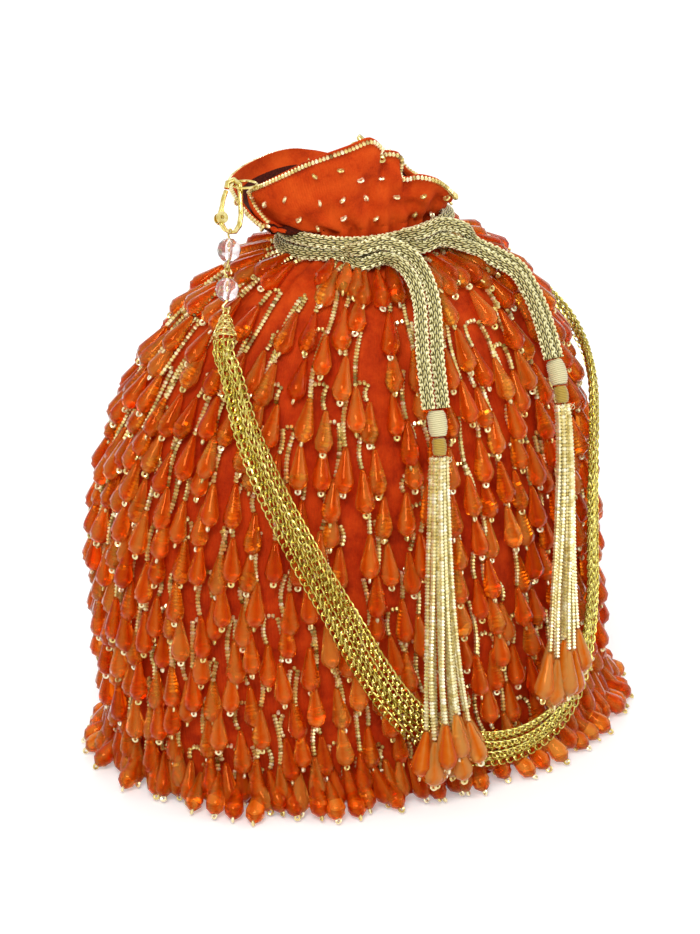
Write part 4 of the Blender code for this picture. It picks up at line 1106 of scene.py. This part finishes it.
def strap_end(side):
    """Where the chains start and which way down is, from the two crystals' solids."""
    first, second = centre_of(f"crystal_{side}_1"), centre_of(f"crystal_{side}_2")
    down = unit(second - first)
    half_pin = CRYSTAL_RADIUS + EYE_RADIUS + EYE_WIRE + GAP
    link = 2 * EYE_RADIUS - 2 * EYE_WIRE - GAP
    eye = second + down * (half_pin + link)
    cap_top = eye + down * (EYE_RADIUS - EYE_WIRE)
    return cap_top + down * (CAP_LENGTH + CAP_GAP), down, eye, cap_top


def make_crystals(side, down):
    """Cut beads: a bored ball with three rows of flat facets, each row half a facet on."""
    r, half = CRYSTAL_RADIUS, math.pi / 10
    profile = [(0.0008, -0.90 * r), (0.50 * r, -0.86 * r), (0.86 * r, -0.50 * r), (r, 0.0),
               (0.86 * r, 0.50 * r), (0.50 * r, 0.86 * r), (0.0008, 0.90 * r)]
    cut = turned(profile, 10, [0, 0, half, 0, half, 0, 0], bored=True)
    for node in (f"crystal_{side}_1", f"crystal_{side}_2"):
        made, faces, _ = copies(cut, centre_of(node)[None], down[None])
        make_piece(f"cut_{node}", made, faces, CRYSTAL, node, smooth=0)


def make_cap(side, down, eye, cap_top):
    """Openwork cone cap: three rows of round eyelets between plain hoops, with an eye on top."""
    sets = []
    helper = unit(np.cross(down, (0.3, 0.9, 0.2)))
    other = np.cross(down, helper)
    for row, (count, share, size) in enumerate(CAP_EYELETS):
        radius = CAP_TOP_RADIUS + (CAP_BASE_RADIUS - CAP_TOP_RADIUS) * share
        turn = (np.arange(count) + 0.5 * row) * 2 * math.pi / count
        out = helper * np.cos(turn)[:, None] + other * np.sin(turn)[:, None]
        slope = (CAP_BASE_RADIUS - CAP_TOP_RADIUS) / CAP_LENGTH
        places = cap_top + down * CAP_LENGTH * share + out * radius
        sets.append(copies(ring_shape(size, EYELET_WIRE, 12, 6), places, out - down * slope))
    for share in CAP_HOOPS:
        radius = CAP_TOP_RADIUS + (CAP_BASE_RADIUS - CAP_TOP_RADIUS) * share
        place = (cap_top + down * CAP_LENGTH * share)[None]
        sets.append(copies(ring_shape(radius, HOOP_WIRE, 28, 6), place, down[None]))
    facing = np.cross(down, unit(np.cross(down, eye * (1, 1, 0) + (0, 0, 0.001))))
    sets.append(copies(ring_shape(EYE_RADIUS, EYE_WIRE, 18, 8), eye[None], facing[None]))
    points, faces, _ = joined(sets)
    make_piece(f"filigree_cap_{side}", points, faces, CLASP_METAL, f"cone_cap_{side}")


def smooth_copy(node, body):
    """A small metal piece in its solid's own shape, its corners joined so that it can shade smooth."""
    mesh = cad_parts[node].data
    points = read_all(mesh.vertices, "co", float, 3).reshape(-1, 3)
    _, first, back = np.unique(np.round(points / 1e-6).astype(np.int64), axis=0, return_index=True,
                               return_inverse=True)
    triangles = back.ravel()[read_all(mesh.loops, "vertex_index")].reshape(-1, 3)
    good = (triangles != np.roll(triangles, 1, axis=1)).all(axis=1)
    make_piece(f"plated_{node}", points[first], [triangles[good]], CLASP_METAL, node, body, 52)


def make_strap():
    """Both ends of the strap with their fittings, and the chains between them."""
    ends = {side: strap_end(side) for side in ("left", "right")}
    for side, (_, down, eye, cap_top) in ends.items():
        make_crystals(side, down)
        make_cap(side, down, eye, cap_top)
        for node, body in ((f"sewn_ring_{side}", "bag"), (f"clasp_body_{side}", "bag"),
                           (f"clasp_pin_{side}", "bag"), (f"clasp_gate_{side}", f"gate_{side}"),
                           (f"eye_pin_{side}_1", "bag"), (f"eye_pin_{side}_2", "bag")):
            smooth_copy(node, body)
    make_chains(ends)


def make_camera():
    """The photo's view: a long lens turned to the left front and raised."""
    turn, rise = math.radians(VIEW_TURN), math.radians(VIEW_RISE)
    right = Vector((math.cos(turn), math.sin(turn), 0))
    back = Vector((math.sin(turn) * math.cos(rise), -math.cos(turn) * math.cos(rise), math.sin(rise)))
    data = bpy.data.cameras.new("camera")
    data.lens, data.sensor_width = LENS, SENSOR
    data.clip_start = 0.05
    camera = bpy.data.objects.new("camera", data)
    camera.location = Vector((0, 0, VIEW_HEIGHT)) + right * VIEW_SHIFT + back * VIEW_DISTANCE
    camera.rotation_euler = (-back).to_track_quat("-Z", "Y").to_euler()
    bpy.context.scene.collection.objects.link(camera)
    bpy.context.scene.camera = camera


def seen_directly(tree):
    """1 for camera, glossy and transmission rays, and 0 for the rest."""
    path = add_node(tree, "ShaderNodeLightPath").outputs
    seen = path["Is Camera Ray"]
    for kind in ("Is Glossy Ray", "Is Transmission Ray"):
        higher = add_node(tree, "ShaderNodeMath", {"operation": "MAXIMUM"}, (), {0: seen, 1: path[kind]})
        seen = higher.outputs[0]
    return seen


def make_studio():
    """A pale floor, a white surround and soft lamps."""
    made, tree, shader = start_material(
        "pale_floor", Roughness=0.9, Specular_IOR_Level=0.1, Base_Color=linear("#F2F0EE"),
        Emission_Color=(1, 1, 1, 1),
    )
    lift = add_node(tree, "ShaderNodeMath", {"operation": "MULTIPLY"}, {1: FLOOR_GLOW},
                    {0: seen_directly(tree)})
    tree.links.new(lift.outputs[0], shader.inputs["Emission Strength"])
    mesh = bpy.data.meshes.new("floor")
    corners = [(x * FLOOR_REACH, y * FLOOR_REACH, 0) for x, y in ((-1, -1), (1, -1), (1, 1), (-1, 1))]
    mesh.from_pydata(corners, [], [(0, 1, 2, 3)])
    mesh.materials.append(made)
    floor = bpy.data.objects.new("floor", mesh)
    bpy.context.scene.collection.objects.link(floor)
    world = bpy.data.worlds.new("studio")
    world.use_nodes = True
    tree = world.node_tree
    light, screen = (
        add_node(tree, "ShaderNodeBackground", (), {"Color": (1, 1, 1, 1), "Strength": power}).outputs[0]
        for power in (AMBIENT_POWER, SCREEN_POWER)
    )
    mix = add_node(tree, "ShaderNodeMixShader", (), (), {0: seen_directly(tree), 1: light, 2: screen})
    tree.links.new(mix.outputs[0], tree.nodes["World Output"].inputs["Surface"])
    bpy.context.scene.world = world
    for name, place, power, size in LAMPS:
        data = bpy.data.lights.new(name, "AREA")
        data.energy, data.size = power, size
        lamp = bpy.data.objects.new(name, data)
        lamp.location = place
        lamp.rotation_euler = (Vector(LAMPS_AIM) - Vector(place)).to_track_quat("-Z", "Y").to_euler()
        bpy.context.scene.collection.objects.link(lamp)
    bpy.context.scene.view_settings.view_transform = "Standard"


def finish_board():
    """The hidden board keeps its solid and takes its own material."""
    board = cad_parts["base_board"]
    board.data.materials.clear()
    board.data.materials.append(BOARD)


make_camera()
for tail in TAIL_ROUTES:
    make_tail(tail)
make_neck_loops()
make_ruffle_beads(*make_cloth())
make_strings()
make_strap()
finish_board()
make_studio()
